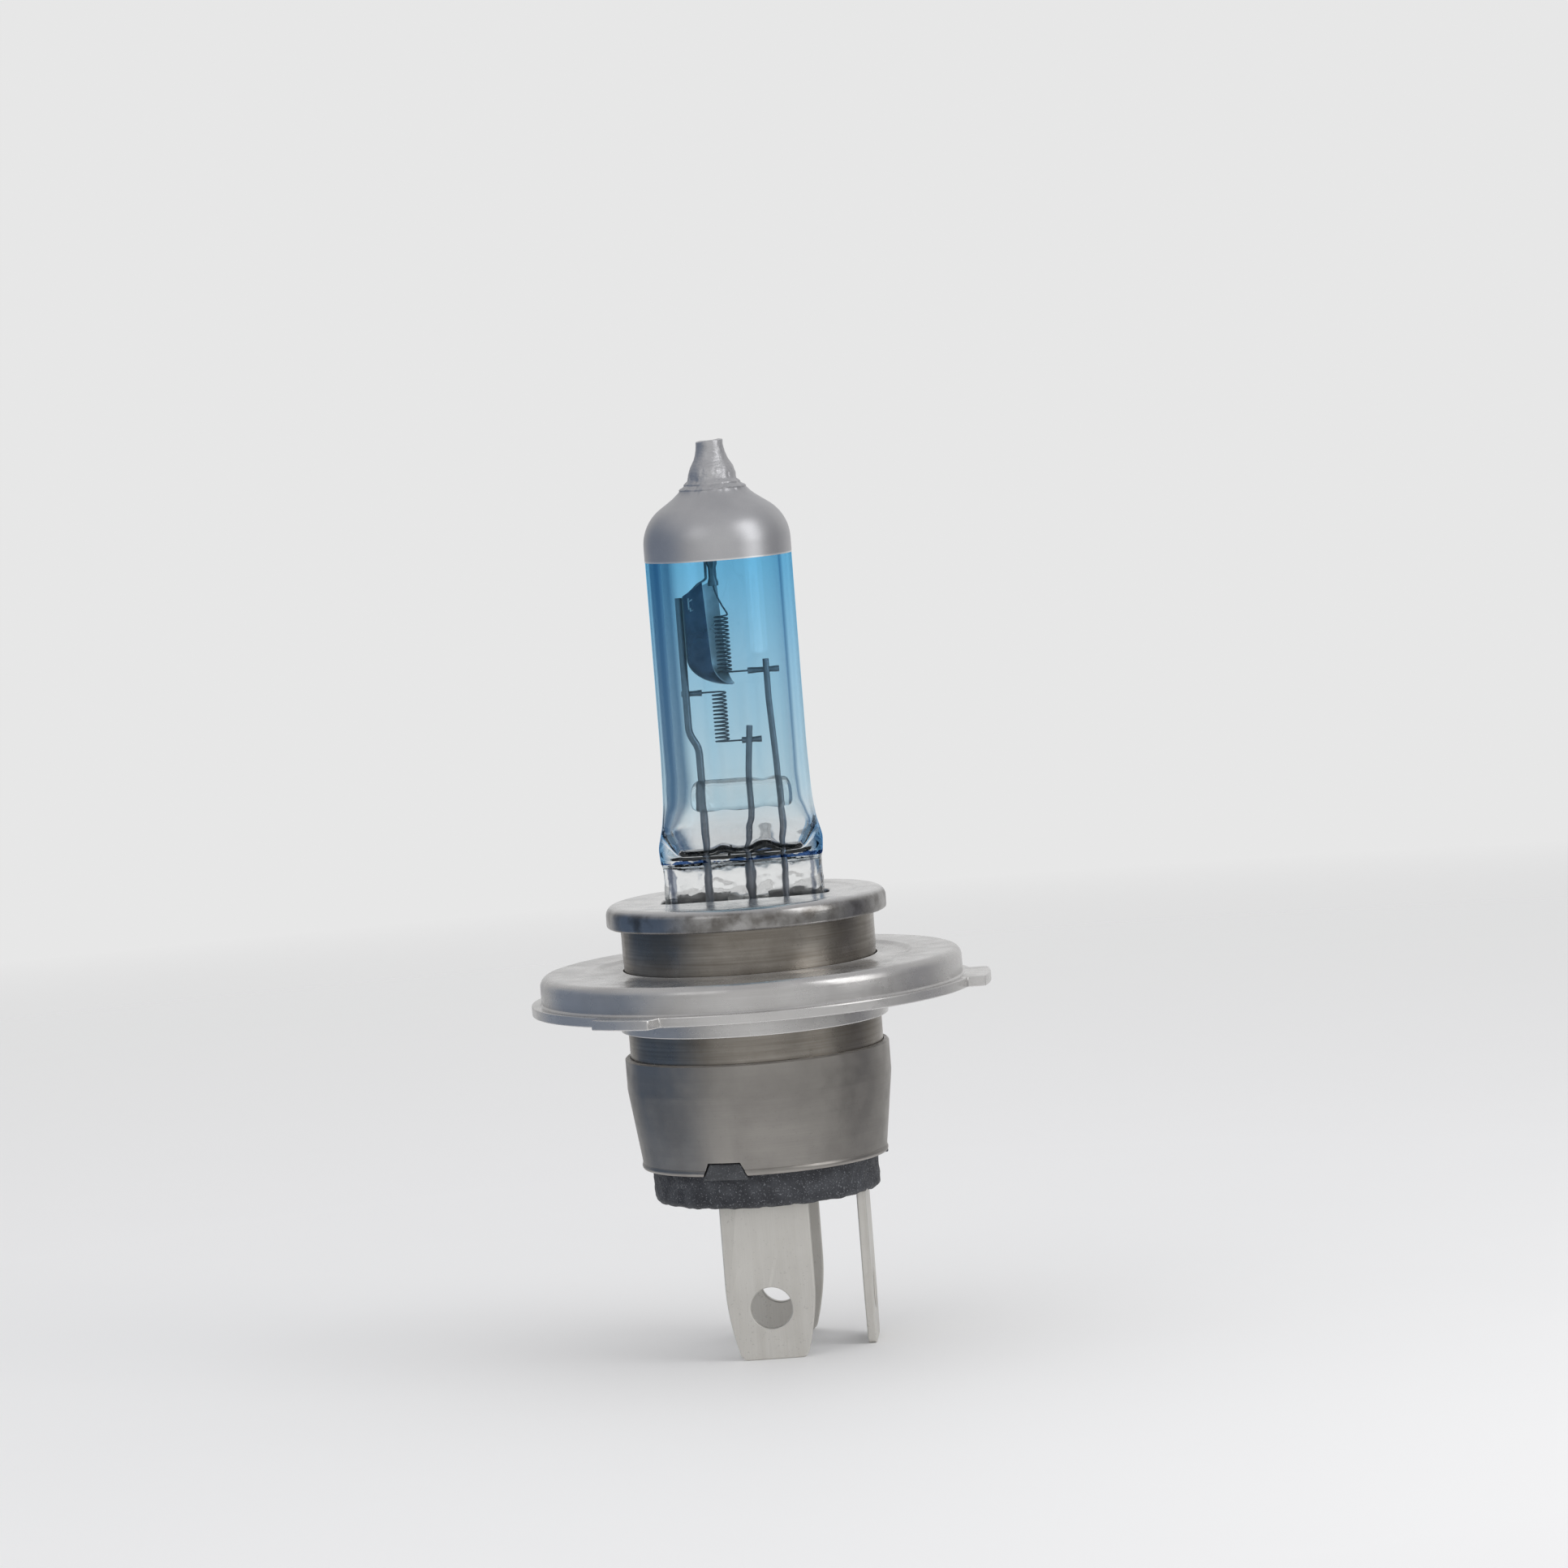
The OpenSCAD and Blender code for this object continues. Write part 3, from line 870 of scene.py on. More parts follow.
@dataclass(frozen=True)
class BlueFilm:
    """The blue filter film: deep below the silver, faded out at the shoulder, pooled at its foot."""

    name: str = "blue_filter_film"
    deep: Colour = (0.43, 0.755, 0.945)
    middle: Colour = (0.64, 0.85, 0.975)
    pale: Colour = (0.82, 0.93, 0.985)
    bare: Colour = (0.985, 0.99, 1.0)
    pooled: Colour = (0.28, 0.50, 0.72)
    # The rim colour is painted shade: a dark navy band at the film's lower edge, standing for the dark
    # line that the glass's crease draws there by refraction.
    rim: Colour = (0.07, 0.15, 0.36)
    lamp_tint: Colour = (0.84, 0.93, 0.98)
    top: float = 38.8 * MM
    middle_z: float = 29.5 * MM
    fade_z: float = 18.0 * MM
    foot: float = 14.0 * MM
    streaks: float = 0.16
    pool_x: Point = (6.3 * MM, 6.9 * MM)
    pool_z: Point = (16.2 * MM, 13.4 * MM)
    rim_z: Point = (12.76 * MM, 12.68 * MM)
    rim_wave: float = 1.5 * MM

    def build(self) -> bpy.types.Material:
        """Makes the material.

        Returns:
            The material.
        """
        shades = Shades(self.name)
        height = shades.axis("Z")
        upper = shades.blend(shades.ramp(height, self.middle_z, self.top), self.middle, self.deep)
        lower = shades.blend(shades.ramp(height, self.fade_z, self.middle_z), self.pale, upper)
        body = shades.blend(shades.ramp(height, self.foot, self.fade_z), self.bare, lower)
        streaks = shades.ramp(shades.cloud(1.5 * MM, 2.0, (1, 1, 0.05)), 0.38, 0.7, 0.0, self.streaks)
        streaks = shades.times(streaks, shades.ramp(height, self.foot, self.fade_z))
        body = shades.blend(streaks, body, self.deep)
        side = shades.ramp(shades.math("ABSOLUTE", shades.axis("X")), *self.pool_x)
        body = shades.blend(shades.times(side, shades.ramp(height, *self.pool_z)), body, self.pooled)
        # Painted shade: below rim_z the film turns dark navy, with a wavy upper edge.
        waves = shades.times(shades.cloud(1.3 * MM, 4.0, (1, 0.3, 0.3)), self.rim_wave)
        edge = shades.ramp(shades.plus(height, waves), *self.rim_z)
        body = shades.blend(edge, body, self.rim)
        film = shades.add("BsdfPrincipled", Base_Color=body, Roughness=0.0, IOR=1.0,
                          Transmission_Weight=1.0)
        return shades.show_glass(film, self.lamp_tint)


@dataclass(frozen=True)
class Metal:
    """Sheet or drawn metal with a grain, stains, fine marks and edges rubbed bright."""

    name: str
    colour: Colour
    stain: Colour
    roughness: float = 0.34
    grain: Grain = Grain.AROUND
    grain_size: float = 0.10 * MM
    grain_depth: float = 0.003 * MM
    grain_share: float = 0.3
    stain_size: float = 5.0 * MM
    stain_share: float = 0.6
    stain_least: float = 0.0
    speck_share: float = 0.3
    metallic: float = 1.0
    rubbed: float = 0.35
    clean_above: float = 1.0
    speck_size: float = 0.25 * MM
    smear_size: float = 2.2 * MM

    def build(self) -> bpy.types.Material:
        """Makes the material.

        Returns:
            The material.
        """
        shades = Shades(self.name)
        place = shades.round_place() if self.grain is Grain.AROUND else shades.place
        squeeze = {Grain.AROUND: (1, 0.02, 1), Grain.UP: (1, 1, 0.03), Grain.ACROSS: (0.03, 1, 1)}
        lines = shades.cloud(self.grain_size, 3.0, squeeze[self.grain], 0.5, place)
        bands = shades.cloud(self.grain_size * 9, 2.0, squeeze[self.grain], 0.5, place)
        stains = shades.ramp(shades.cloud(self.stain_size, 4.0), 0.42, 0.66, self.stain_least,
                             self.stain_share)
        dirty = shades.ramp(shades.axis("Z"), self.clean_above + 0.3 * MM, self.clean_above)
        colour = shades.blend(shades.times(stains, dirty), self.colour, self.stain)
        for pattern, faintest in ((lines, 0.35), (bands, 0.45)):
            share = shades.ramp(pattern, faintest, 0.7, 0.0, self.grain_share)
            colour = shades.blend(share, colour, self.stain)
        specks = shades.ramp(shades.cloud(self.speck_size, 2.0), 0.64, 0.72, 0.0, self.speck_share)
        colour = shades.blend(specks, colour, tuple(0.5 * c for c in self.stain))
        bright = tuple(min(1.25 * c, 0.95) for c in self.colour)
        worn = shades.ramp(shades.edges(), 0.51, 0.56, 0.0, self.rubbed)
        colour = shades.blend(worn, colour, bright)
        smears = shades.cloud(self.smear_size, 3.0)
        rough = shades.ramp(smears, 0.3, 0.7, self.roughness - 0.06, self.roughness + 0.1)
        marks = shades.plus(lines, shades.times(smears, 0.5))
        metal = shades.surface(marks, self.grain_depth, Base_Color=colour, Metallic=self.metallic,
                               Roughness=rough)
        return shades.show(metal)


@dataclass(frozen=True)
class SilverPaint:
    """Heat-proof silver paint: fine flake, slightly uneven where it was dipped over the tip."""

    name: str = "silver_dip_paint"
    colour: Colour = (0.60, 0.60, 0.615)
    shade: Colour = (0.47, 0.475, 0.50)
    flake: Colour = (0.72, 0.72, 0.74)
    # The rim colour is a painted highlight: a pale line along the paint's lower edge, where light
    # passes.
    rim: Colour = (0.85, 0.85, 0.86)
    neck: float = 44.6 * MM
    edge_z: float = 38.95 * MM
    roughness: float = 0.37
    cloud_size: float = 3.5 * MM
    flake_size: float = 0.08 * MM
    wrinkle_size: float = 0.45 * MM
    depth: float = 0.07 * MM

    def build(self) -> bpy.types.Material:
        """Makes the material.

        Returns:
            The material.
        """
        shades = Shades(self.name)
        height = shades.axis("Z")
        cloudy = shades.ramp(shades.cloud(self.cloud_size, 3.0), 0.35, 0.7, 0.0, 0.5)
        flake = shades.cloud(self.flake_size, 1.0)
        colour = shades.blend(cloudy, self.colour, self.shade)
        colour = shades.blend(shades.ramp(flake, 0.5, 0.75, 0.0, 0.25), colour, self.flake)
        # Painted highlight: the paint turns pale in a thin band from its lower edge up to edge_z.
        edge = shades.ramp(height, self.edge_z + 0.08 * MM, self.edge_z)
        colour = shades.blend(edge, colour, self.rim)
        neck = shades.ramp(height, self.neck, self.neck + 0.8 * MM)
        wrinkle = shades.times(shades.cloud(self.wrinkle_size, 4.0, (1, 1, 2)), neck)
        rough = shades.ramp(neck, 0.0, 1.0, self.roughness, 0.40)
        relief = shades.plus(shades.times(flake, 0.05), wrinkle)
        paint = shades.surface(relief, self.depth, Base_Color=colour, Metallic=0.8, Roughness=rough)
        return shades.show(paint)


@dataclass(frozen=True)
class MouldedPlastic:
    """Filled black resin with pale specks, rough all over and rubbed grey along its edges."""

    name: str = "filled_black_resin"
    colour: Colour = (0.024, 0.026, 0.033)
    patch: Colour = (0.060, 0.064, 0.074)
    dust: Colour = (0.24, 0.25, 0.27)
    rubbed: Colour = (0.11, 0.115, 0.12)
    patch_size: float = 1.6 * MM
    speck_size: float = 0.14 * MM
    depth: float = 0.16 * MM

    def build(self) -> bpy.types.Material:
        """Makes the material.

        Returns:
            The material.
        """
        shades = Shades(self.name)
        patch = shades.ramp(shades.cloud(self.patch_size, 4.0), 0.42, 0.68)
        specks = shades.ramp(shades.cloud(self.speck_size, 2.0), 0.6, 0.68, 0.0, 0.7)
        worn = shades.ramp(shades.edges(), 0.51, 0.57, 0.0, 0.5)
        colour = shades.blend(patch, self.colour, self.patch)
        for share, over in ((specks, self.dust), (worn, self.rubbed)):
            colour = shades.blend(share, colour, over)
        rough = shades.ramp(shades.cloud(0.8 * MM), 0.3, 0.7, 0.42, 0.72)
        relief = shades.plus(shades.cloud(0.25 * MM, 4.0), shades.cloud(1.1 * MM, 3.0))
        resin = shades.surface(relief, self.depth, Base_Color=colour, Roughness=rough)
        return shades.show(resin)


@dataclass(frozen=True)
class PaintedSealShadow:
    """Painted shadow: brown-black for the bottom of the hollow, where the wall closes on the wires."""

    name: str = "painted_seal_shadow"
    colour: Colour = (0.020, 0.017, 0.014)
    brown: Colour = (0.085, 0.075, 0.06)

    def build(self) -> bpy.types.Material:
        """Makes the material.

        Returns:
            The material.
        """
        shades = Shades(self.name)
        patch = shades.cloud(0.5 * MM, 3.0)
        colour = shades.blend(shades.ramp(patch, 0.45, 0.7, 0.0, 0.8), self.colour, self.brown)
        dull = shades.add("BsdfPrincipled", Base_Color=colour,
                          Roughness=shades.ramp(patch, 0.3, 0.7, 0.35, 0.6))
        return shades.show(dull)


Finish = Union[ClearGlass, BeadGlass, BlueFilm, Metal, SilverPaint, MouldedPlastic, PaintedSealShadow]

MOLYBDENUM = Metal("drawn_molybdenum", (0.24, 0.255, 0.285), (0.13, 0.14, 0.165), 0.38,
                   grain=Grain.UP, grain_size=0.08 * MM, stain_size=1.2 * MM)
# The shield's outside and inside are dark and bright copies of one molybdenum: the bright inside is
# painted light, and the outside is made darker and bluer.
SHIELD_OUTSIDE = Metal("dark_outer_molybdenum", (0.085, 0.115, 0.185), (0.035, 0.05, 0.095), 0.30,
                       grain=Grain.UP, grain_size=0.3 * MM, stain_size=1.5 * MM, stain_share=0.85)
SHIELD_PAINTED_LIT_INSIDE = Metal("painted_lit_molybdenum", (0.62, 0.64, 0.67), (0.40, 0.42, 0.46), 0.32,
                      grain=Grain.UP, grain_size=0.2 * MM, stain_size=1.5 * MM)
TUNGSTEN = Metal("tungsten_wire", (0.11, 0.12, 0.145), (0.06, 0.065, 0.085), 0.42,
                 grain=Grain.ACROSS, grain_size=0.08 * MM)
BRIGHT_STEEL = Metal("bright_pressed_steel", (0.71, 0.70, 0.69), (0.50, 0.485, 0.47), 0.25,
                     stain_share=0.35, speck_share=0.06, grain_share=0.2, metallic=0.8)
CAP_STEEL = Metal("browned_cap_steel", (0.80, 0.795, 0.79), (0.14, 0.125, 0.11), 0.24,
                  stain_size=2.0 * MM, stain_share=0.9, stain_least=0.45, speck_share=0.1,
                  grain_share=0.1, clean_above=7.95 * MM)
# The tongues' dark colour is painted shade, standing for the shadowed gap behind the slot.
SHADED_TONGUE_STEEL = Metal("slot_shade_steel", (0.24, 0.235, 0.235), (0.09, 0.085, 0.085), 0.3)
SLEEVE_STEEL = Metal("drawn_sleeve_steel", (0.45, 0.42, 0.38), (0.21, 0.185, 0.155), 0.28,
                     grain_size=0.2 * MM, grain_share=0.6, speck_share=0.15)
SHELL_STEEL = Metal("satin_shell_steel", (0.40, 0.38, 0.355), (0.28, 0.265, 0.25), 0.36,
                    grain_size=0.08 * MM, grain_share=0.2, speck_share=0.15)
TINNED_BRASS = Metal("tinned_brass_sheet", (0.66, 0.645, 0.61), (0.52, 0.50, 0.46), 0.46,
                     grain=Grain.UP, grain_size=0.10 * MM, stain_share=0.4, metallic=0.75)


class Wardrobe:
    """Makes each finish once and dresses pieces in it."""

    def __init__(self) -> None:
        """Starts with nothing made."""
        self.made: dict[str, bpy.types.Material] = {}

    def get(self, finish: Finish) -> bpy.types.Material:
        """Looks a finish up, and makes its material the first time.

        Args:
            finish: the finish.

        Returns:
            Its material.
        """
        if finish.name not in self.made:
            self.made[finish.name] = finish.build()
        return self.made[finish.name]

    def dress(self, piece: bpy.types.Object, *finishes: Finish) -> None:
        """Gives a piece its finishes.

        Args:
            piece: the piece.
            *finishes: the finishes, in the order of its faces' indices.
        """
        piece.data.materials.clear()
        for finish in finishes:
            piece.data.materials.append(self.get(finish))

    def redress(self, nodes: Iterable[str], finish: Finish) -> None:
        """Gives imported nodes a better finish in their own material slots.

        Args:
            nodes: the nodes.
            finish: their finish.
        """
        for node in nodes:
            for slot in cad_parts[node].material_slots:
                slot.material = self.get(finish)
            LOG.info("%s: packed shape, dressed in %s", node, finish.name)


WARDROBE = Wardrobe()


def hand_over(piece: bpy.types.Object, finish: Finish, slot: Slot, *nodes: str) -> None:
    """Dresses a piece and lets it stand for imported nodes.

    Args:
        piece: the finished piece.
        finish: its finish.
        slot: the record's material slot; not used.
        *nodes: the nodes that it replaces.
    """
    if not piece.data.materials:
        WARDROBE.dress(piece, finish)
    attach(piece, BODY)
    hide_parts(*nodes)
    LOG.info("%s: %d faces, stands for %s", piece.name, len(piece.data.polygons), ", ".join(nodes))


# ---------- the glass ----------

# Radius and height of the neck where it was drawn off the dome, in millimetres.
NECK = (
    (4.55, 43.68), (4.08, 44.0), (3.62, 44.32), (3.26, 44.6), (3.0, 44.84), (2.92, 44.98),
    (2.95, 45.1), (2.86, 45.2), (2.64, 45.32), (2.5, 45.44), (2.5, 45.56), (2.38, 45.7),
    (2.2, 45.86), (2.14, 46.05), (2.1, 46.35), (2.02, 46.65), (1.88, 46.95), (1.66, 47.3),
    (1.45, 47.65), (1.3, 48.05), (1.2, 48.5), (1.16, 48.9),
)
# Radius of the broken end, and how far it lies below its highest ring, in millimetres.
SNAPPED_TIP = ((1.17, 0.08), (1.15, 0.0), (0.98, -0.04), (0.45, 0.05), (0.0, 0.06))


@dataclass
class Envelope:
    """The bulb's glass: a tube with a drawn-off tip at one end and a flat pinch at the other."""

    wall: float = 1.2 * MM
    dome_z: float = 40.2 * MM
    dome_r: float = 3.95 * MM
    film: float = 0.03 * MM
    gap: float = 0.008 * MM
    paint: float = 0.05 * MM
    film_foot: float = 11.75 * MM
    pinch_top: float = 11.6 * MM
    panel_half: float = 6.1 * MM
    panel_edge: float = 0.45 * MM
    panel_depth: float = 0.36 * MM
    floor_z: float = 12.95 * MM
    floor_humps: tuple[tuple[float, float, float], ...] = ((0.3, -1.5, 0.7), (0.6, 2.2, 0.9))
    # Where the painted shadow line lies: its ends along X and its height, in millimetres, and its
    # radius.
    seal_ends: Point = (-5.5, 5.65)
    seal_z: float = 12.56
    seal_r: float = 0.34 * MM
    wrinkle_size: float = 0.6 * MM
    wrinkle: float = 0.24 * MM
    segments: int = 192

    def __post_init__(self) -> None:
        """Takes the driving sizes from the frame."""
        low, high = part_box("glass_envelope")
        self.foot, self.tip = low.z, high.z
        self.pinch_half = high.x
        self.silver_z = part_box("silver_tip_coating")[0].z
        self.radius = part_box("blue_filter_coating")[1].x - self.film
        self.tube = [*steps(19.2 * MM, 22.0 * MM, 5), 28 * MM, 34 * MM, self.silver_z]

    def outside(self) -> list[Station]:
        """Shapes the outside, from the pinch up to the tube.

        Returns:
            Rows of height, half width along X, half width along Y and squareness.
        """
        r = self.radius
        half = self.pinch_half
        return [
            (self.foot, half - 0.4 * MM, 1.75 * MM, 6),
            (self.foot + 0.3 * MM, half - 0.1 * MM, 2.05 * MM, 6),
            (11.25 * MM, half - 0.1 * MM, 2.05 * MM, 6),
            (11.5 * MM, half - 0.05 * MM, 2.12 * MM, 6),
            (11.75 * MM, half, 2.4 * MM, 5.6),
            (12.4 * MM, half + 0.07 * MM, 2.85 * MM, 4.8),
            (13.2 * MM, half + 0.1 * MM, 3.7 * MM, 3.8),
            (14.0 * MM, half - 0.05 * MM, 4.65 * MM, 2.9),
            (15.0 * MM, half - 0.27 * MM, 5.55 * MM, 2.4),
            (16.0 * MM, half - 0.4 * MM, 6.15 * MM, 2.2),
            (17.0 * MM, half - 0.5 * MM, 6.4 * MM, 2.05),
            (18.6 * MM, r + 0.08 * MM, r, 2.0),
            (22.0 * MM, r, r, 2.0),
            (self.silver_z, r, r, 2.0),
        ]

    def inside(self) -> list[Station]:
        """Shapes the hollow, from its narrow floor up to the bore.

        Returns:
            Rows like those of the outside.
        """
        bore = self.radius - self.wall
        return [
            (self.floor_z, 5.2 * MM, 0.5 * MM, 3.0),
            (13.05 * MM, 5.4 * MM, 1.2 * MM, 3.0),
            (13.3 * MM, 5.6 * MM, 1.9 * MM, 3.0),
            (14.1 * MM, 5.85 * MM, 2.85 * MM, 2.7),
            (14.9 * MM, 5.85 * MM, 3.75 * MM, 2.4),
            (15.7 * MM, 5.7 * MM, 4.55 * MM, 2.2),
            (16.5 * MM, 5.55 * MM, 5.0 * MM, 2.1),
            (17.3 * MM, 5.45 * MM, 5.2 * MM, 2.05),
            (18.6 * MM, bore + 0.02 * MM, bore - 0.03 * MM, 2.0),
            (19.4 * MM, bore, bore, 2.0),
            (22.0 * MM, bore, bore, 2.0),
            (self.dome_z, bore, bore, 2.0),
        ]

    def section(self, height: float, grow: float = 0.0) -> Ring:
        """The outside, with the pinch's faces pressed in between its edge beads.

        Args:
            height: where.
            grow: how far the section stands off the glass.

        Returns:
            The section.
        """
        _, half_x, half_y, square = between(self.outside(), height)
        full = oval(half_x + grow, half_y + grow, square)
        pressed = oval(half_x + grow, max(half_y - self.panel_depth, MM) + grow, square)
        in_pinch = 1 - ease(10.4 * MM, self.pinch_top, height)

        def radius(angle: float) -> float:
            """The section's distance from the axis.

            Args:
                angle: the direction, in radians.

            Returns:
                The distance.
            """
            edge = ease(self.panel_half, self.panel_half + self.panel_edge,
                        abs(full(angle) * math.cos(angle)))
            return mix(full(angle), pressed(angle), in_pinch * (1 - edge))

        return Ring(radius, height, half_y / half_x)

    def hollow(self, height: float) -> Ring:
        """The hollow, whose floor rises in soft humps round the wires.

        Args:
            height: where.

        Returns:
            The hollow's ring there.
        """
        _, half_x, half_y, square = between(self.inside(), height)
        reach = oval(half_x, half_y, square)
        share = 1 - ease(self.floor_z, 14.2 * MM, height)

        def floor(angle: float) -> float:
            """The ring's height.

            Args:
                angle: the direction, in radians.

            Returns:
                The height.
            """
            x = reach(angle) * math.cos(angle)
            return height + share * MM * sum(rise * swell(x, middle * MM, width * MM)
                                             for rise, middle, width in self.floor_humps)

        return Ring(reach, floor, half_y / half_x)

    def painted_seal_shadow(self) -> bpy.types.Object:
        """The dark line below the hollow, a painted shadow, with the arch and the drop that stand on
        it.

        Returns:
            All of it, as one piece.
        """
        start, end = self.seal_ends

        def thickness(at: Vector) -> float:
            """How thick the line is: thin at both ends, and uneven.

            Args:
                at: a point on it.

            Returns:
                How many times thicker than its radius says.
            """
            x = at.x / MM
            return (0.4 + 0.6 * ease(start, start + 0.3, x) * ease(-end, 0.3 - end, -x)
                    + 0.06 * math.sin(4.1 * x) * math.sin(1.3 * x))

        waves = [Vector((x, 0.1 * math.sin(2 * x), self.seal_z + 0.02 * math.sin(1.7 * x))) * MM
                 for x in steps(start, end, 64)]
        line = wire("seal", waves, self.seal_r, 6, thickness)
        hump = [Vector(((1.75 + 1.05 * math.cos(a)) * MM, 0, (12.45 + 0.42 * math.sin(a)) * MM))
                for a in steps(0.15, math.pi - 0.15, 18)]
        arch = wire("arch", hump, 0.1 * MM, 4)
        drop = wire("drop", [Vector((-1.05 * MM, 0, z * MM)) for z in (12.4, 12.8, 13.3, 13.5)],
                    0.13 * MM, 4)
        return join([line, arch, drop], "seal")

    def crown(self, grow: float = 0.0) -> list[Ring]:
        """The dome, the neck's two drawn steps and the snapped-off tip.

        Args:
            grow: how far the rings stand off the glass.

        Returns:
            The rings from the dome up.
        """
        dome = arc((self.radius - self.dome_r, self.dome_z), self.dome_r + grow, 0, 58, 14)
        rings = plain(dome)
        rings += [self.off_round(r * MM + grow, z * MM) for r, z in NECK]
        top = self.tip - 0.16 * MM + grow
        for r, drop in SNAPPED_TIP:
            rings.append(Ring(r * MM + (grow if r > 1 else 0), self.snapped(top - drop * MM)))
        return rings

    @staticmethod
    def off_round(radius: float, height: float) -> Ring:
        """A ring of the neck, a little less round and less level towards the tip.

        Args:
            radius: its mean radius.
            height: its mean height.

        Returns:
            The ring.
        """
        share = ease(44.0 * MM, 45.6 * MM, height)
        turn = 1.7 * height / MM

        def reach(angle: float) -> float:
            """The ring's distance from the axis at an angle."""
            lobes = math.cos(2 * angle + turn) + 0.5 * math.sin(3 * angle - turn)
            return radius * (1 + 0.022 * share * lobes)

        def rise(angle: float) -> float:
            """The ring's height at an angle."""
            waves = math.sin(2 * angle + 0.7 * turn) + 0.6 * math.sin(5 * angle + turn)
            return height + 0.05 * MM * share * waves

        return Ring(reach, rise)

    @staticmethod
    def wrinkled(at: Vector) -> float:
        """How much of the neck's wrinkling applies at a point."""
        return ease(44.3 * MM, 45.0 * MM, at.z) * (1 - ease(46.4 * MM, 48.4 * MM, at.z))

    @staticmethod
    def snapped(height: float) -> ByAngle:
        """The height round the tip, where the glass snapped off unevenly."""
        return lambda angle: height + 0.055 * MM * (math.cos(angle) + 0.6 * math.sin(3 * angle))

    def glass(self) -> bpy.types.Object:
        """The glass itself, with its hollow.

        Returns:
            The glass.
        """
        heights = [
            self.foot, self.foot + 0.12 * MM, self.foot + 0.3 * MM, *steps(MM, 7.6 * MM, 10),
            *steps(7.8 * MM, 12.0 * MM, 30), *steps(12.15 * MM, 18.6 * MM, 36), *self.tube,
        ]
        shell = skin("outside", [self.section(z) for z in heights] + self.crown(), self.segments)
        lumps(shell, 1.5 * MM, 0.26 * MM, lambda at: 1 - ease(10.6 * MM, 11.6 * MM, at.z))
        lumps(shell, self.wrinkle_size, self.wrinkle, self.wrinkled)
        bore = self.radius - self.wall
        low = [*steps(self.floor_z, 13.8 * MM, 10), *steps(14.0 * MM, 19.4 * MM, 27)]
        rings = [self.hollow(z) for z in [*low, 22 * MM, 31 * MM]]
        dome = arc((bore - 2.75 * MM, self.dome_z - 0.2 * MM), 2.75 * MM, 0, 72, 14)
        dome += [(1.9 * MM, 42.85 * MM), (1.0 * MM, 43.2 * MM), (0.5 * MM, 43.9 * MM), (0, 44.6 * MM)]
        rings += plain(dome)
        cavity = skin("hollow", rings, self.segments, facing=Facing.IN)
        for piece in (shell, cavity):
            WARDROBE.dress(piece, ClearGlass())
        seal = self.painted_seal_shadow()
        # The line, arch and drop are dark pieces of painted shadow, put where the hollow's closed
        # bottom lies in shade.
        WARDROBE.dress(seal, PaintedSealShadow())
        return join([shell, cavity, seal], "glass_bulb")

    def blue_film(self) -> bpy.types.Object:
        """The filter film, a thin closed skin over the tube and the shoulder.

        Returns:
            The film.
        """
        heights = [self.film_foot, *steps(11.8 * MM, 18.6 * MM, 36), *self.tube]
        rings = [self.section(z, self.film) for z in heights]
        rings += [self.section(z, self.gap) for z in reversed(heights)]
        return skin("blue_film", rings, self.segments, closed=True)

    def silver_cap(self) -> bpy.types.Object:
        """The paint over the dome and the tip, open below and thickened inwards.

        Returns:
            The paint.
        """
        edge = self.silver_z + 0.01 * MM
        rings = [Ring(self.radius + self.paint, edge), *self.crown(self.paint)]
        cap = skin("silver_cap", rings, self.segments)
        lumps(cap, self.wrinkle_size, self.wrinkle, self.wrinkled)
        pick_faces(cap, lambda at, normal: normal.z < -0.9 and at.z < edge + 0.01 * MM)
        bpy.ops.mesh.delete(type="ONLY_FACE")
        bpy.ops.object.mode_set(mode="OBJECT")
        apply(cap, "SOLIDIFY", thickness=self.paint - self.gap, offset=-1)
        bpy.ops.object.shade_smooth_by_angle(angle=math.radians(35))
        return cap

    def build(self) -> None:
        """Makes the glass, its blue film and its silver paint."""
        hand_over(self.glass(), ClearGlass(), Slot.CLEAR_GLASS, "glass_envelope")
        hand_over(self.blue_film(), BlueFilm(), Slot.BLUE_FILM, "blue_filter_coating")
        hand_over(self.silver_cap(), SilverPaint(), Slot.SILVER_PAINT, "silver_tip_coating")


@dataclass
class Bridge:
    """The glass bead that holds the three wires apart, pressed flat between them."""

    flat: float = 0.34 * MM
    flat_width: float = 0.8 * MM
    groove: float = 0.13 * MM
    groove_width: float = 0.3 * MM
    end_r: float = 0.95 * MM
    segments: int = 96

    def build(self) -> None:
        """Makes the bead."""
        low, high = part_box("glass_bridge")
        radius = (high.z - low.z) / 2
        wires = [sum(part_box(node), Vector()).x / 2 for node in (
            "common_support_wire", "high_beam_support_wire", "low_beam_support_wire")]
        middles = [(a + b) / 2 for a, b in zip(wires, wires[1:])]

        def ring(reach: float, x: float) -> Ring:
            """A section of the bead: flattened between the wires, drawn in beside the last one.

            Args:
                reach: its radius before that.
                x: where it lies along the bead.

            Returns:
                The section.
            """
            under = radius - self.flat * sum(swell(x, m, self.flat_width) for m in middles)
            over = radius - self.flat * swell(x, middles[-1], self.flat_width)
            round_r = reach - self.groove * swell(x, wires[-1] + 0.45 * MM, self.groove_width)

            def outline(angle: float) -> float:
                """The section's distance from the bead's axis; angle 0 is underneath."""
                level = under if math.cos(angle) > 0 else over
                return min(round_r, level / max(abs(math.cos(angle)), 0.01))

            return Ring(outline, x)

        ends = arc((radius - self.end_r, self.end_r), self.end_r, -90, 0)
        rings = [ring(r, low.x + z) for r, z in ends]
        rings += [ring(radius, x) for x in steps(low.x + MM, high.x - MM, 64)]
        rings += [ring(r, high.x - z) for r, z in reversed(ends)]
        bead = along_x(skin("glass_bead", rings, self.segments), (low.z + high.z) / 2)
        hand_over(bead, BeadGlass(), Slot.BRIDGE_GLASS, "glass_bridge")


# ---------- wires, shield and filaments ----------


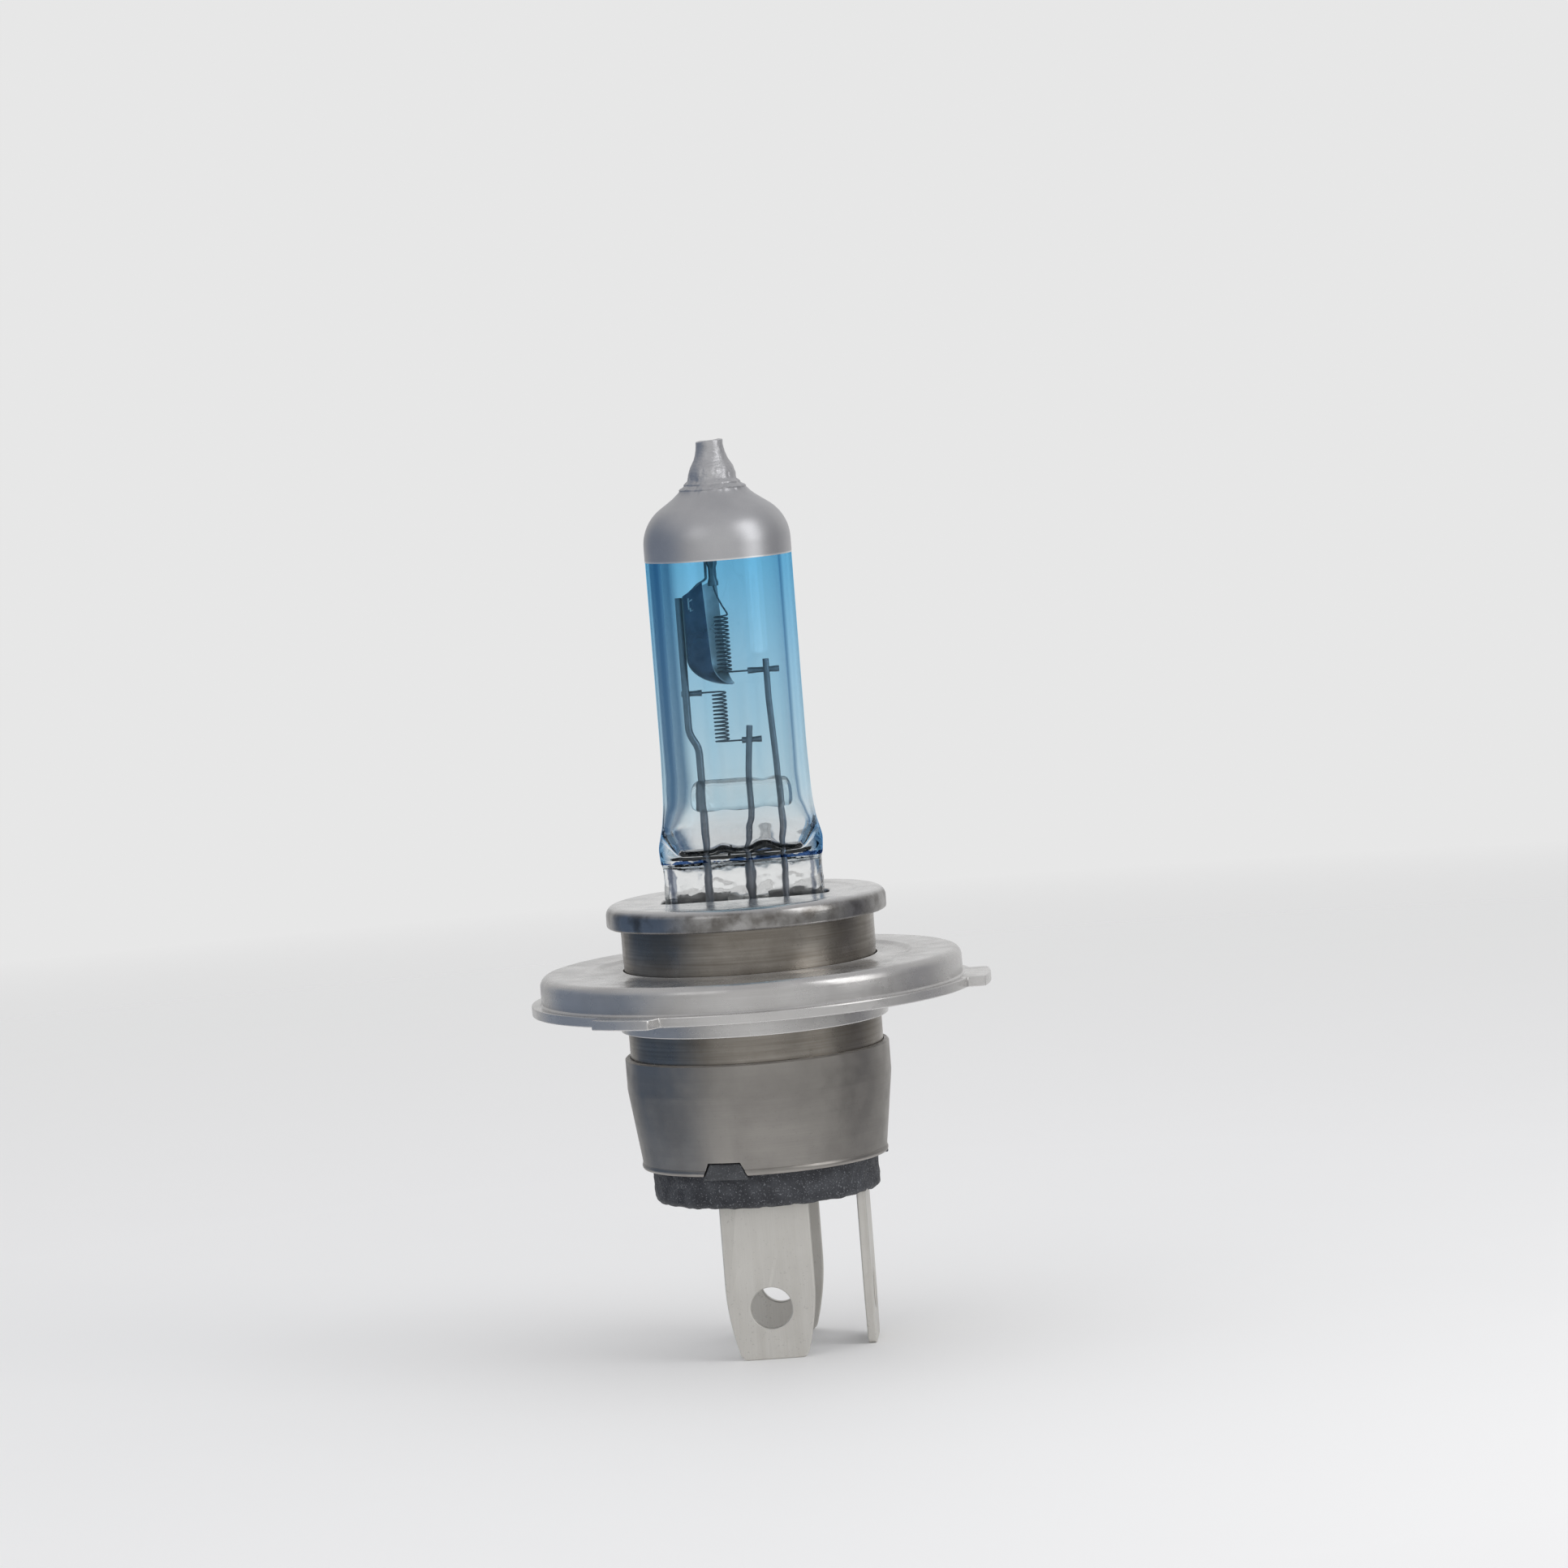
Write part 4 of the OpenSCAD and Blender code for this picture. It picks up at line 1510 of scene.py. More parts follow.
@dataclass
class Supports:
    """The three wires that stand in the pinch and carry the filaments."""

    common_r: float = 0.34 * MM
    wire_r: float = 0.28 * MM
    jog: Point = (21.9 * MM, 23.3 * MM)
    bead_x: float = 1.2 * MM
    neck: Point = (8.6 * MM, 11.9 * MM)

    def route(self, points: Sequence[Point], reach: float) -> list[Vector]:
        """A route in the XZ plane, divided finely inside the pinch.

        Args:
            points: its corners, from the foot up.
            reach: how far from a corner its bend starts.

        Returns:
            The route.
        """
        corners = [Vector((x, 0, z)) for x, z in points]
        foot = corners[0]
        straight = [Vector((foot.x, 0, z)) for z in steps(foot.z, 12.8 * MM, 26)]
        return straight + rounded([straight[-1], *corners[1:]], reach)[1:]

    def pinched(self, at: Vector) -> float:
        """How much thicker the middle wire is, where the pinch has swaged it.

        Args:
            at: a point on the wire.

        Returns:
            How many times thicker.
        """
        low, high = self.neck
        return 1 + 0.62 * ease(low - 0.8 * MM, low + 0.5 * MM, at.z) * (
            1 - ease(high - 0.4 * MM, high + 0.1 * MM, at.z))

    def build(self) -> None:
        """Makes the three wires."""
        low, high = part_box("common_support_wire")
        foot_x, top_x = high.x - self.common_r, low.x + self.common_r
        route = self.route([(foot_x, low.z), (foot_x, self.jog[0]), (top_x, self.jog[1]),
                            (top_x, high.z)], 0.6 * MM)
        common = wire("common_wire", route, self.common_r)
        low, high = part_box("high_beam_support_wire")
        foot_x, top_x = low.x + self.wire_r, high.x - self.wire_r
        route = self.route([(foot_x, low.z), (foot_x, 13.4 * MM), (self.bead_x, 15.4 * MM),
                            (self.bead_x, 19.4 * MM), (top_x, high.z)], 0.4 * MM)
        middle = wire("high_beam_wire", route, self.wire_r, thickness=self.pinched)
        low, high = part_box("low_beam_support_wire")
        foot_x, top_x = high.x - self.wire_r, low.x + self.wire_r
        route = self.route([(foot_x, low.z), (foot_x, 19.4 * MM), (top_x, 26 * MM),
                            (top_x, high.z)], 0.6 * MM)
        outer = wire("low_beam_wire", route, self.wire_r)
        for piece, node in ((common, "common_support_wire"), (middle, "high_beam_support_wire"),
                            (outer, "low_beam_support_wire")):
            round_edges(piece, 0.05 * MM, 2, 60)
            hand_over(piece, MOLYBDENUM, Slot.MOLYBDENUM, node)


@dataclass
class Shield:
    """The spoon below the low-beam coil, and the strip welded into its front."""

    sheet: float = 0.18 * MM
    near_rim: float = -1.1 * MM
    far_rim: float = -0.25 * MM
    rear_z: float = 30.0 * MM
    front_z: float = 35.6 * MM
    rows: int = 40
    columns: int = 36

    def __post_init__(self) -> None:
        """Takes the shield's box from the frame."""
        self.low, self.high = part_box("low_beam_shield")

    def surface(self, row: float, column: float) -> Vector:
        """A point on the outside.

        Args:
            row: 0 at the rear tip, 1 at the front edge.
            column: -1 at the near rim, 1 at the far rim.

        Returns:
            The point.
        """
        low, high = self.low, self.high
        across = math.radians(90 * column)
        rear = math.radians(max(0.0, 1 - row * 2.5) * 84)
        ahead = max(0.0, row * 2.5 - 1) / 1.5
        rim = mix(self.near_rim, self.far_rim, (column + 1) / 2) - 0.3 * MM * ahead
        rim_here = mix(rim, high.x, 1 - math.cos(rear))
        floor_here = mix(high.x, low.x, math.cos(rear))
        front = mix(self.front_z, high.z, 1 - math.cos(across))
        side = high.y * math.cos(rear) * math.sin(across)
        along = self.rear_z - (self.rear_z - low.z) * math.sin(rear) + (front - self.rear_z) * ahead
        return Vector((mix(rim_here, floor_here, math.cos(across)), side, along))

    def spoon(self) -> bpy.types.Object:
        """The shield itself, from a grid bent into a spoon and given its thickness.

        Returns:
            The shield.
        """
        spoon = begin("shield_spoon", bpy.ops.mesh.primitive_grid_add, x_subdivisions=self.columns,
                      y_subdivisions=self.rows, size=2)
        open_up()
        lay(spoon, lambda at: self.surface((at.y + 1) / 2, at.x))
        tidy(spoon)
        mark = Vector((-2.6 * MM, -2.3 * MM, 34.9 * MM))
        # Outside in the dark copy; inside and rims in the bright copy, which is painted light.
        WARDROBE.dress(spoon, SHIELD_OUTSIDE, SHIELD_PAINTED_LIT_INSIDE)
        pick_faces(spoon, lambda at, _: at.y < 0 and abs(at.z - mark.z) < 0.5 * MM
                   and abs(at.x - mark.x) < 0.25 * MM)
        spoon.active_material_index = 1
        bpy.ops.object.material_slot_assign()
        bpy.ops.mesh.inset(thickness=0.09 * MM, depth=-0.08 * MM)
        spoon.active_material_index = 0
        bpy.ops.object.material_slot_assign()
        bpy.ops.object.mode_set(mode="OBJECT")
        apply(spoon, "SOLIDIFY", thickness=self.sheet, offset=-1, use_even_offset=True,
              material_offset=1, material_offset_rim=1)
        tidy(spoon)
        round_edges(spoon, 0.04 * MM, 2, 50)
        return spoon

    def tongue(self) -> bpy.types.Object:
        """The strip, from a short edge extruded along its bends.

        Returns:
            The strip.
        """
        low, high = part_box("shield_tongue")
        half = high.y
        route = [(low.x + 0.1 * MM, low.z, 1.0), (low.x + 0.15 * MM, 35.6 * MM, 1.0),
                 (-2.05 * MM, 36.6 * MM, 1.0), (-1.5 * MM, 36.9 * MM, 0.95),
                 (high.x - 0.12 * MM, 37.1 * MM, 0.9), (high.x - 0.1 * MM, 38.1 * MM, 0.75),
                 (high.x - 0.1 * MM, 38.4 * MM, 0.6), (high.x - 0.1 * MM, high.z, 0.95)]
        strip = begin("shield_strip", bpy.ops.mesh.primitive_plane_add, size=MM)
        open_up("DESELECT")
        mesh = bmesh.from_edit_mesh(strip.data)
        for vertex in mesh.verts:
            vertex.select_set(vertex.co.x > 0)
        bpy.ops.mesh.delete(type="VERT")
        bpy.ops.mesh.select_all(action="SELECT")
        for i, (x, z, share) in enumerate(route):
            if i:
                bpy.ops.mesh.extrude_edges_move()
            lay(strip, lambda at: Vector((x, math.copysign(half * share, at.y), z)))
        tidy(strip)
        apply(strip, "SOLIDIFY", thickness=0.2 * MM, offset=0)
        tidy(strip)
        round_edges(strip, 0.04 * MM, 2, 50)
        return strip

    def build(self) -> None:
        """Makes the shield and its strip."""
        hand_over(self.spoon(), SHIELD_OUTSIDE, Slot.MOLYBDENUM, "low_beam_shield")
        hand_over(self.tongue(), MOLYBDENUM, Slot.MOLYBDENUM, "shield_tongue")


@dataclass
class Filaments:
    """Both coils with their legs, and the tubes crimped on the legs."""

    wire_r: float = 0.078 * MM
    coil_r: float = 0.6 * MM
    low_foot: Vector = Vector((-0.2 * MM, 0, 28.5 * MM))
    high_foot: Vector = Vector((-0.9 * MM, 0, 22.3 * MM))
    low_length: float = 5.2 * MM
    high_length: float = 4.5 * MM
    low_turns: float = 14.75
    high_turns: float = 13
    turn_steps: int = 24
    bore: float = 0.1 * MM

    def coil(self, foot: Vector, length: float, turns: float) -> list[Vector]:
        """Points up a coil that starts behind its axis.

        Args:
            foot: the middle of its first turn.
            length: its length.
            turns: its turns.

        Returns:
            The points.
        """
        route = []
        for t in steps(0, turns, round(turns * self.turn_steps)):
            angle = 2 * math.pi * t + math.pi / 2
            route.append(foot + Vector((self.coil_r * math.cos(angle),
                                        self.coil_r * math.sin(angle), length * t / turns)))
        return route

    def crimped(self, name: str, length: float, radius: float, squash: float) -> bpy.types.Object:
        """A tube about Z that is pinched flat in its middle.

        Args:
            name: its name.
            length: its length.
            radius: its outer radius.
            squash: how much flatter its middle is.

        Returns:
            The tube.
        """
        rings = []
        for t in steps(0, 1, 14):
            flat = squash * ease(0.12, 0.32, t) * (1 - ease(0.68, 0.88, t))
            rings.append(Ring(oval(radius * (1 - flat), radius * (1 + 0.6 * flat)), length * t))
        rings += [Ring(self.bore, length), Ring(self.bore, 0)]
        tube = skin(name, rings, 32, closed=True)
        round_edges(tube, 0.02 * MM, 2, 50)
        return tube

    def build(self) -> None:
        """Makes the filaments and the tubes."""
        front_low, front_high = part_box("low_beam_front_leg_sleeve")
        front_x = (front_low.x + front_high.x) / 2
        low_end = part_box("low_beam_filament")[1].x
        back = self.coil_r
        crown = self.low_foot + Vector((self.coil_r, 0, self.low_length))
        low_coil = wire("low_beam_coil", [
            Vector((low_end, back, self.low_foot.z)), Vector((0.6 * MM, back, self.low_foot.z)),
            *self.coil(self.low_foot, self.low_length, self.low_turns),
            crown + Vector((-0.06 * MM, 0.14 * MM, 0.2 * MM)),
            Vector((0.0, 0.12 * MM, front_low.z - 1.9 * MM)),
            Vector((front_x + 0.3 * MM, 0.05 * MM, front_low.z - 1.1 * MM)),
            Vector((front_x + 0.08 * MM, 0, front_low.z - 0.4 * MM)),
            Vector((front_x, 0, front_low.z)), Vector((front_x, 0, front_high.z - 0.2 * MM)),
        ], self.wire_r, 2)
        high_start, high_end = (box.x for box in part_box("high_beam_filament"))
        top = self.high_foot.z + self.high_length
        high_coil = wire("high_beam_coil", [
            Vector((high_end, back, self.high_foot.z)), Vector((-0.2 * MM, back, self.high_foot.z)),
            *self.coil(self.high_foot, self.high_length, self.high_turns),
            Vector((-1.6 * MM, back, top)), Vector((high_start, back, top)),
        ], self.wire_r, 2)
        hand_over(low_coil, TUNGSTEN, Slot.TUNGSTEN, "low_beam_filament")
        hand_over(high_coil, TUNGSTEN, Slot.TUNGSTEN, "high_beam_filament")
        for node in ("low_beam_rear_leg_sleeve", "high_beam_rear_leg_sleeve",
                     "high_beam_front_leg_sleeve"):
            low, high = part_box(node)
            tube = self.crimped(node.replace("_leg_sleeve", "_tube"), high.x - low.x,
                                (high.z - low.z) / 2, 0.12)
            along_x(tube, (low.z + high.z) / 2)
            move(tube, Matrix.Translation((low.x, (low.y + high.y) / 2, 0)))
            hand_over(tube, MOLYBDENUM, Slot.MOLYBDENUM, node)
        tube = self.crimped("low_beam_front_tube", front_high.z - front_low.z,
                            (front_high.x - front_low.x) / 2, 0.25)
        move(tube, Matrix.Translation((front_x, 0, front_low.z)))
        hand_over(tube, MOLYBDENUM, Slot.MOLYBDENUM, "low_beam_front_leg_sleeve")


# ---------- the metal base ----------


@dataclass
class CapPlate:
    """The plate that the glass stands on, with a rolled edge and a slot for the pinch."""

    sheet: float = 0.6 * MM
    roll_r: float = 0.9 * MM
    slot_half: Point = (7.55 * MM, 2.6 * MM)
    lip_r: float = 0.2 * MM
    recess_r: float = 9.9 * MM
    recess: float = 0.12 * MM
    foot_r: float = 0.25 * MM
    tongues: tuple[Point, ...] = ((-3.9 * MM, 4.8 * MM), (4.2 * MM, 4.6 * MM))

    def build(self) -> None:
        """Makes the plate as one skin from the slot out, over the edge and back underneath."""
        low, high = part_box("cap_plate")
        edge, top = high.x, high.z
        under = top - self.sheet
        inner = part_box("inner_sleeve")[1].x + 0.05 * MM

        def slot(grow: float) -> ByAngle:
            """The slot's outline, grown."""
            return oval(self.slot_half[0] + grow, self.slot_half[1] + grow, 5.0)

        sunk = top - self.recess
        lip = arc((self.lip_r, sunk - self.lip_r), self.lip_r, 180, 90, 4)
        rings = [Ring(slot(0), under), *(Ring(slot(r), z) for r, z in lip), Ring(slot(0.6 * MM), sunk)]
        rings += plain([
            (self.recess_r - 0.6 * MM, sunk), (self.recess_r - 0.2 * MM, sunk),
            (self.recess_r, sunk + 0.03 * MM), (self.recess_r + 0.2 * MM, top - 0.03 * MM),
            (self.recess_r + 0.4 * MM, top), (edge - self.roll_r - 0.4 * MM, top),
            *arc((edge - self.roll_r, top - self.roll_r), self.roll_r, 90, 0, 9),
            (edge, low.z + self.foot_r),
            *arc((edge - self.foot_r, low.z + self.foot_r), self.foot_r, 0, -90, 4),
            (inner + 0.1 * MM, low.z), (inner, low.z + 0.1 * MM), (inner, under),
        ])
        cap = skin("cap_plate_pressed", rings, 160, closed=True)
        lumps(cap, 3.0 * MM, 0.05 * MM)
        WARDROBE.dress(cap, CAP_STEEL)
        # Dark tongues stand up behind the slot; their darkness is painted shade for the gap behind the
        # pinch.
        back = self.slot_half[1] - 0.3 * MM
        tongues = []
        for x, width in self.tongues:
            tongue = block("tongue", Vector((x - width / 2, back, under - 0.3 * MM)),
                           Vector((x + width / 2, back + 0.25 * MM, top + 0.2 * MM)))
            round_edges(tongue, 0.11 * MM)
            lumps(tongue, 0.8 * MM, 0.1 * MM)
            WARDROBE.dress(tongue, SHADED_TONGUE_STEEL)
            tongues.append(tongue)
        cap = join([cap, *tongues], "cap_plate_pressed")
        hand_over(cap, CAP_STEEL, Slot.BRIGHT_STEEL, "cap_plate")


@dataclass
class InnerSleeve:
    """The sleeve between the cap plate and the base shell."""

    sheet: float = 0.6 * MM
    flare: float = 0.06 * MM

    def build(self) -> None:
        """Makes the sleeve."""
        low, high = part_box("inner_sleeve")
        outer = high.x
        inner = outer - self.sheet
        waist = outer - self.flare
        sleeve = turned("drawn_sleeve", [
            (inner, low.z), (outer, low.z), (outer, -3 * MM), (waist, -2.4 * MM), (waist, 2.9 * MM),
            (outer - 0.02 * MM, 3.4 * MM), (outer - 0.02 * MM, 5.6 * MM), (outer, 6.0 * MM),
            (outer, high.z), (inner, high.z), (inner, low.z)])
        round_edges(sleeve, 0.1 * MM, 2, 60)
        hand_over(sleeve, SLEEVE_STEEL, Slot.BASE_STEEL, "inner_sleeve")


@dataclass
class Flange:
    """The pressed pre-focus ring: neck, web, pilot wall, brim and three lugs."""

    sheet: float = 0.8 * MM
    neck: float = 0.6 * MM
    neck_z: float = -3.0 * MM
    pilot_r: float = 19.0 * MM
    web_z: float = 2.5 * MM
    brim_r: float = 19.9 * MM
    brim_z: float = -0.9 * MM
    bend: float = 0.9 * MM
    step_r: float = 14.2 * MM
    step: float = 0.28 * MM
    lugs: tuple[tuple[float, float, int], ...] = ((0, 8 * MM, 5), (120, 6 * MM, 4), (-120, 6 * MM, 4))
    segments: int = 156

    def build(self) -> None:
        """Spins the ring and pulls the lugs out of its brim."""
        _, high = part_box("focusing_flange")
        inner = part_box("inner_sleeve")[1].x + 0.05 * MM
        under = self.web_z - self.sheet
        profile = [
            (inner, self.neck_z), (inner + self.neck, self.neck_z),
            *arc((inner + self.neck + 0.5 * MM, under - self.step - 0.5 * MM), 0.5 * MM, 180, 90, 5),
            (self.step_r, under - self.step), (self.step_r + 0.5 * MM, under),
            *arc((self.pilot_r - self.sheet - 0.4 * MM, under - 0.4 * MM), 0.4 * MM, 90, 0, 5),
            (self.pilot_r - self.sheet, self.brim_z), (self.brim_r, self.brim_z), (self.brim_r, 0),
            (self.pilot_r + 0.15 * MM, 0), (self.pilot_r, 0.15 * MM),
            *arc((self.pilot_r - self.bend, self.web_z - self.bend), self.bend, 0, 90, 9),
            (self.step_r + 0.5 * MM, self.web_z), (self.step_r + 0.3 * MM, self.web_z - 0.04 * MM),
            (self.step_r, self.web_z - self.step + 0.04 * MM),
            (self.step_r - 0.2 * MM, self.web_z - self.step),
            (inner + 0.5 * MM, self.web_z - self.step), (inner + 0.15 * MM, self.web_z - 0.1 * MM),
            (inner, self.web_z), (inner, self.neck_z),
        ]
        ring = turned("pre_focus_ring", profile, self.segments)
        for angle, width, count in self.lugs:
            self.pull_lug(ring, angle, width, count, high.x - self.brim_r)
        tidy(ring)
        round_edges(ring, 0.1 * MM, 2, 50)
        lumps(ring, 6.0 * MM, 0.06 * MM, lambda at: ease(0.2 * MM, 0.6 * MM, at.z))
        hand_over(ring, BRIGHT_STEEL, Slot.BRIGHT_STEEL, "focusing_flange")

    def pull_lug(self, ring: bpy.types.Object, angle: float, width: float, count: int,
                 reach: float) -> None:
        """Extrudes a lug straight out of the brim's edge.

        Args:
            ring: the flange.
            angle: where the lug points, in degrees.
            width: the lug's width.
            count: how many faces it takes on each side of its middle.
            reach: how far it stands out.
        """
        move(ring, spun(-angle))
        half = math.radians(360 / self.segments) * count
        root = 2 * self.brim_r * math.sin(half)
        pick_faces(ring, lambda at, normal: normal.x > 0.5 and at.xy.length > self.brim_r - 0.1 * MM
                   and self.brim_z < at.z < 0 and abs(math.atan2(at.y, at.x)) < half)
        bpy.ops.mesh.extrude_region_move(TRANSFORM_OT_translate={"value": (reach, 0, 0)})
        bpy.ops.transform.resize(value=(1, width / root, 1), center_override=(0, 0, 0))
        bpy.ops.object.mode_set(mode="OBJECT")
        move(ring, spun(angle))


@dataclass(frozen=True)
class Notches:
    """The three notches in the shell's lower edge, which the plug's keys stand in."""

    angles: tuple[float, ...] = (-106, 14, 134)
    foot: float = 4.4 * MM
    top: float = 2.95 * MM
    height: float = 1.2 * MM

    def wedge(self, name: str, angle: float, radii: Point, rise: float, grow: float = 0.0
              ) -> bpy.types.Object:
        """A block that narrows upwards, standing on the shell's lower edge.

        Args:
            name: its name.
            angle: where it stands, in degrees.
            radii: its distances from the axis, near and far.
            rise: the height of the shell's lower edge.
            grow: how much wider and higher it is than the notch.

        Returns:
            The block.
        """
        half = self.foot / 2 + grow
        wedge = block(name, Vector((radii[0], -half, rise - 0.3 * MM)),
                      Vector((radii[1], half, rise + self.height + grow)))
        pick_faces(wedge, lambda at, normal: normal.z > 0.9)
        bpy.ops.transform.resize(value=(1, self.top / self.foot, 1), center_override=(0, 0, 0))
        bpy.ops.object.mode_set(mode="OBJECT")
        return move(wedge, spun(angle))


@dataclass
class BaseShell:
    """The tapered shell round the plug, with its lower edge rolled in."""

    sheet: float = 0.45 * MM
    straight_z: float = -8.4 * MM
    foot_r: float = 11.0 * MM
    lip_r: float = 10.2 * MM
    bead: float = 0.09 * MM
    notches: Notches = Notches()

    def build(self) -> None:
        """Makes the shell."""
        low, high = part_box("base_shell")
        outer, top, foot = high.x, high.z, low.z
        shell = turned("tapered_shell", [
            (outer - self.sheet, top), (outer - 0.15 * MM, top), (outer, top - 0.15 * MM),
            (outer, self.straight_z + 0.2 * MM), (outer - 0.03 * MM, self.straight_z - 0.1 * MM),
            (self.foot_r + 0.04 * MM, foot + 0.75 * MM), (self.foot_r + 0.03 * MM, foot + 0.6 * MM),
            *arc((self.foot_r - 0.28 * MM, foot + 0.3 * MM), 0.3 * MM + self.bead, 45, -45, 5),
            (self.foot_r - 0.45 * MM, foot), (self.lip_r, foot), (self.lip_r, foot + self.sheet),
            (self.foot_r - self.sheet, foot + self.sheet), (outer - self.sheet, self.straight_z),
            (outer - self.sheet, top)], 180)
        round_edges(shell, 0.06 * MM, 2, 50)
        for i, angle in enumerate(self.notches.angles):
            carve(shell, self.notches.wedge(f"notch_{i}", angle, (9 * MM, 13 * MM), foot, 0.05 * MM))
        tidy(shell)
        hand_over(shell, SHELL_STEEL, Slot.BASE_STEEL, "base_shell")


@dataclass
class Insulator:
    """The resin plug that carries the blades, with a rough, uneven skin."""

    plug_r: float = 10.15 * MM
    chamfer: float = 0.5 * MM
    collar_z: float = -15.0 * MM
    key_r: float = 10.9 * MM
    key_rise: float = 3.1 * MM
    key_gap: float = 0.06 * MM
    blade_half: Point = (4.25 * MM, 0.65 * MM)
    recess: float = 0.7 * MM
    notches: Notches = Notches()

    def build(self, blades: "Blades") -> None:
        """Makes the plug.

        Args:
            blades: the blades, which stand in shallow recesses.
        """
        low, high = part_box("insulator")
        foot, top = low.z + 0.03 * MM, high.z
        collar_r = high.x - 0.25 * MM
        plug = turned("resin_plug", [
            *((r * MM, foot) for r in steps(0, 9.6, 24)),
            *arc((self.plug_r - self.chamfer, foot + self.chamfer), self.chamfer, -80, -10, 4),
            *((self.plug_r, z) for z in steps(foot + self.chamfer, self.collar_z, 12)),
            (collar_r, self.collar_z), (collar_r, top), (0, top)], 192)
        for i, angle in enumerate(self.notches.angles):
            key = self.notches.wedge(f"key_{i}", angle, (9 * MM, self.key_r), low.z + self.key_rise,
                                     -self.key_gap)
            round_edges(key, 0.15 * MM)
            carve(plug, key, "UNION")
        lumps(plug, 1.3 * MM, 0.32 * MM, lambda at: 1 - ease(-16.2 * MM, -15.2 * MM, at.z))
        for i, (place, turn) in enumerate(blades.places()):
            half_x, half_y = self.blade_half
            pocket = block(f"pocket_{i}", Vector((-half_x, -half_y, low.z - MM)),
                           Vector((half_x, half_y, low.z + self.recess)))
            carve(plug, move(pocket, Matrix.Translation(place) @ spun(turn)))
        tidy(plug, crease=50)
        hand_over(plug, MouldedPlastic(), Slot.BLACK_PLASTIC, "insulator")


@dataclass
class Blades:
    """The three flat terminals: two on the sides and one on top."""

    taper_z: float = -25.8 * MM
    tip_half: float = 3.15 * MM
    hole_z: float = -27.9 * MM
    hole_r: float = 1.85 * MM
    tang_half: float = 1.5 * MM
    tang_z: float = -11.2 * MM
    nodes: tuple[str, str, str] = ("common_blade", "high_beam_blade", "low_beam_blade")

    def places(self) -> list[tuple[Vector, float]]:
        """Where each blade stands.

        Returns:
            For each blade its middle, and its turn in degrees.
        """
        boxes = [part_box(node) for node in self.nodes]
        middles = [(low + high) / 2 for low, high in boxes]
        turns = [0 if high.x - low.x > high.y - low.y else 90 for low, high in boxes]
        return [(Vector((m.x, m.y, 0)), turn) for m, turn in zip(middles, turns)]

    def build(self) -> None:
        """Makes one blade and copies it."""
        low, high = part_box(self.nodes[0])
        half, thick = (high.x - low.x) / 2, high.y - low.y
        side = [(self.tang_half, high.z), (self.tang_half, self.tang_z), (half - 0.3 * MM, self.tang_z),
                (half, self.tang_z - 0.3 * MM)]
        for t in steps(0, 1, 10):
            bow = mix(half, self.tip_half, t**1.9)
            side.append((bow, mix(self.taper_z, low.z + 0.8 * MM, t)))
        side += arc((self.tip_half - 0.75 * MM, low.z + 0.7 * MM), 0.7 * MM, -15, -90, 5)
        blade = plate("blade", side + [(-x, z) for x, z in reversed(side)], thick)
        drill = begin("drill", bpy.ops.mesh.primitive_cylinder_add, vertices=64, radius=self.hole_r,
                      depth=4 * MM)
        turn = Matrix.Rotation(math.radians(90), 4, "X")
        carve(blade, move(drill, Matrix.Translation((0, 0, self.hole_z)) @ turn))
        tidy(blade)
        round_edges(blade, 0.13 * MM, 3, 40)
        for node, (place, angle) in zip(self.nodes, self.places()):
            twin = copy(blade, f"{node}_sheet", Matrix.Translation(place) @ spun(angle))
            hand_over(twin, TINNED_BRASS, Slot.TINNED_BRASS, node)
        bpy.data.objects.remove(blade)


# ---------- scene ----------


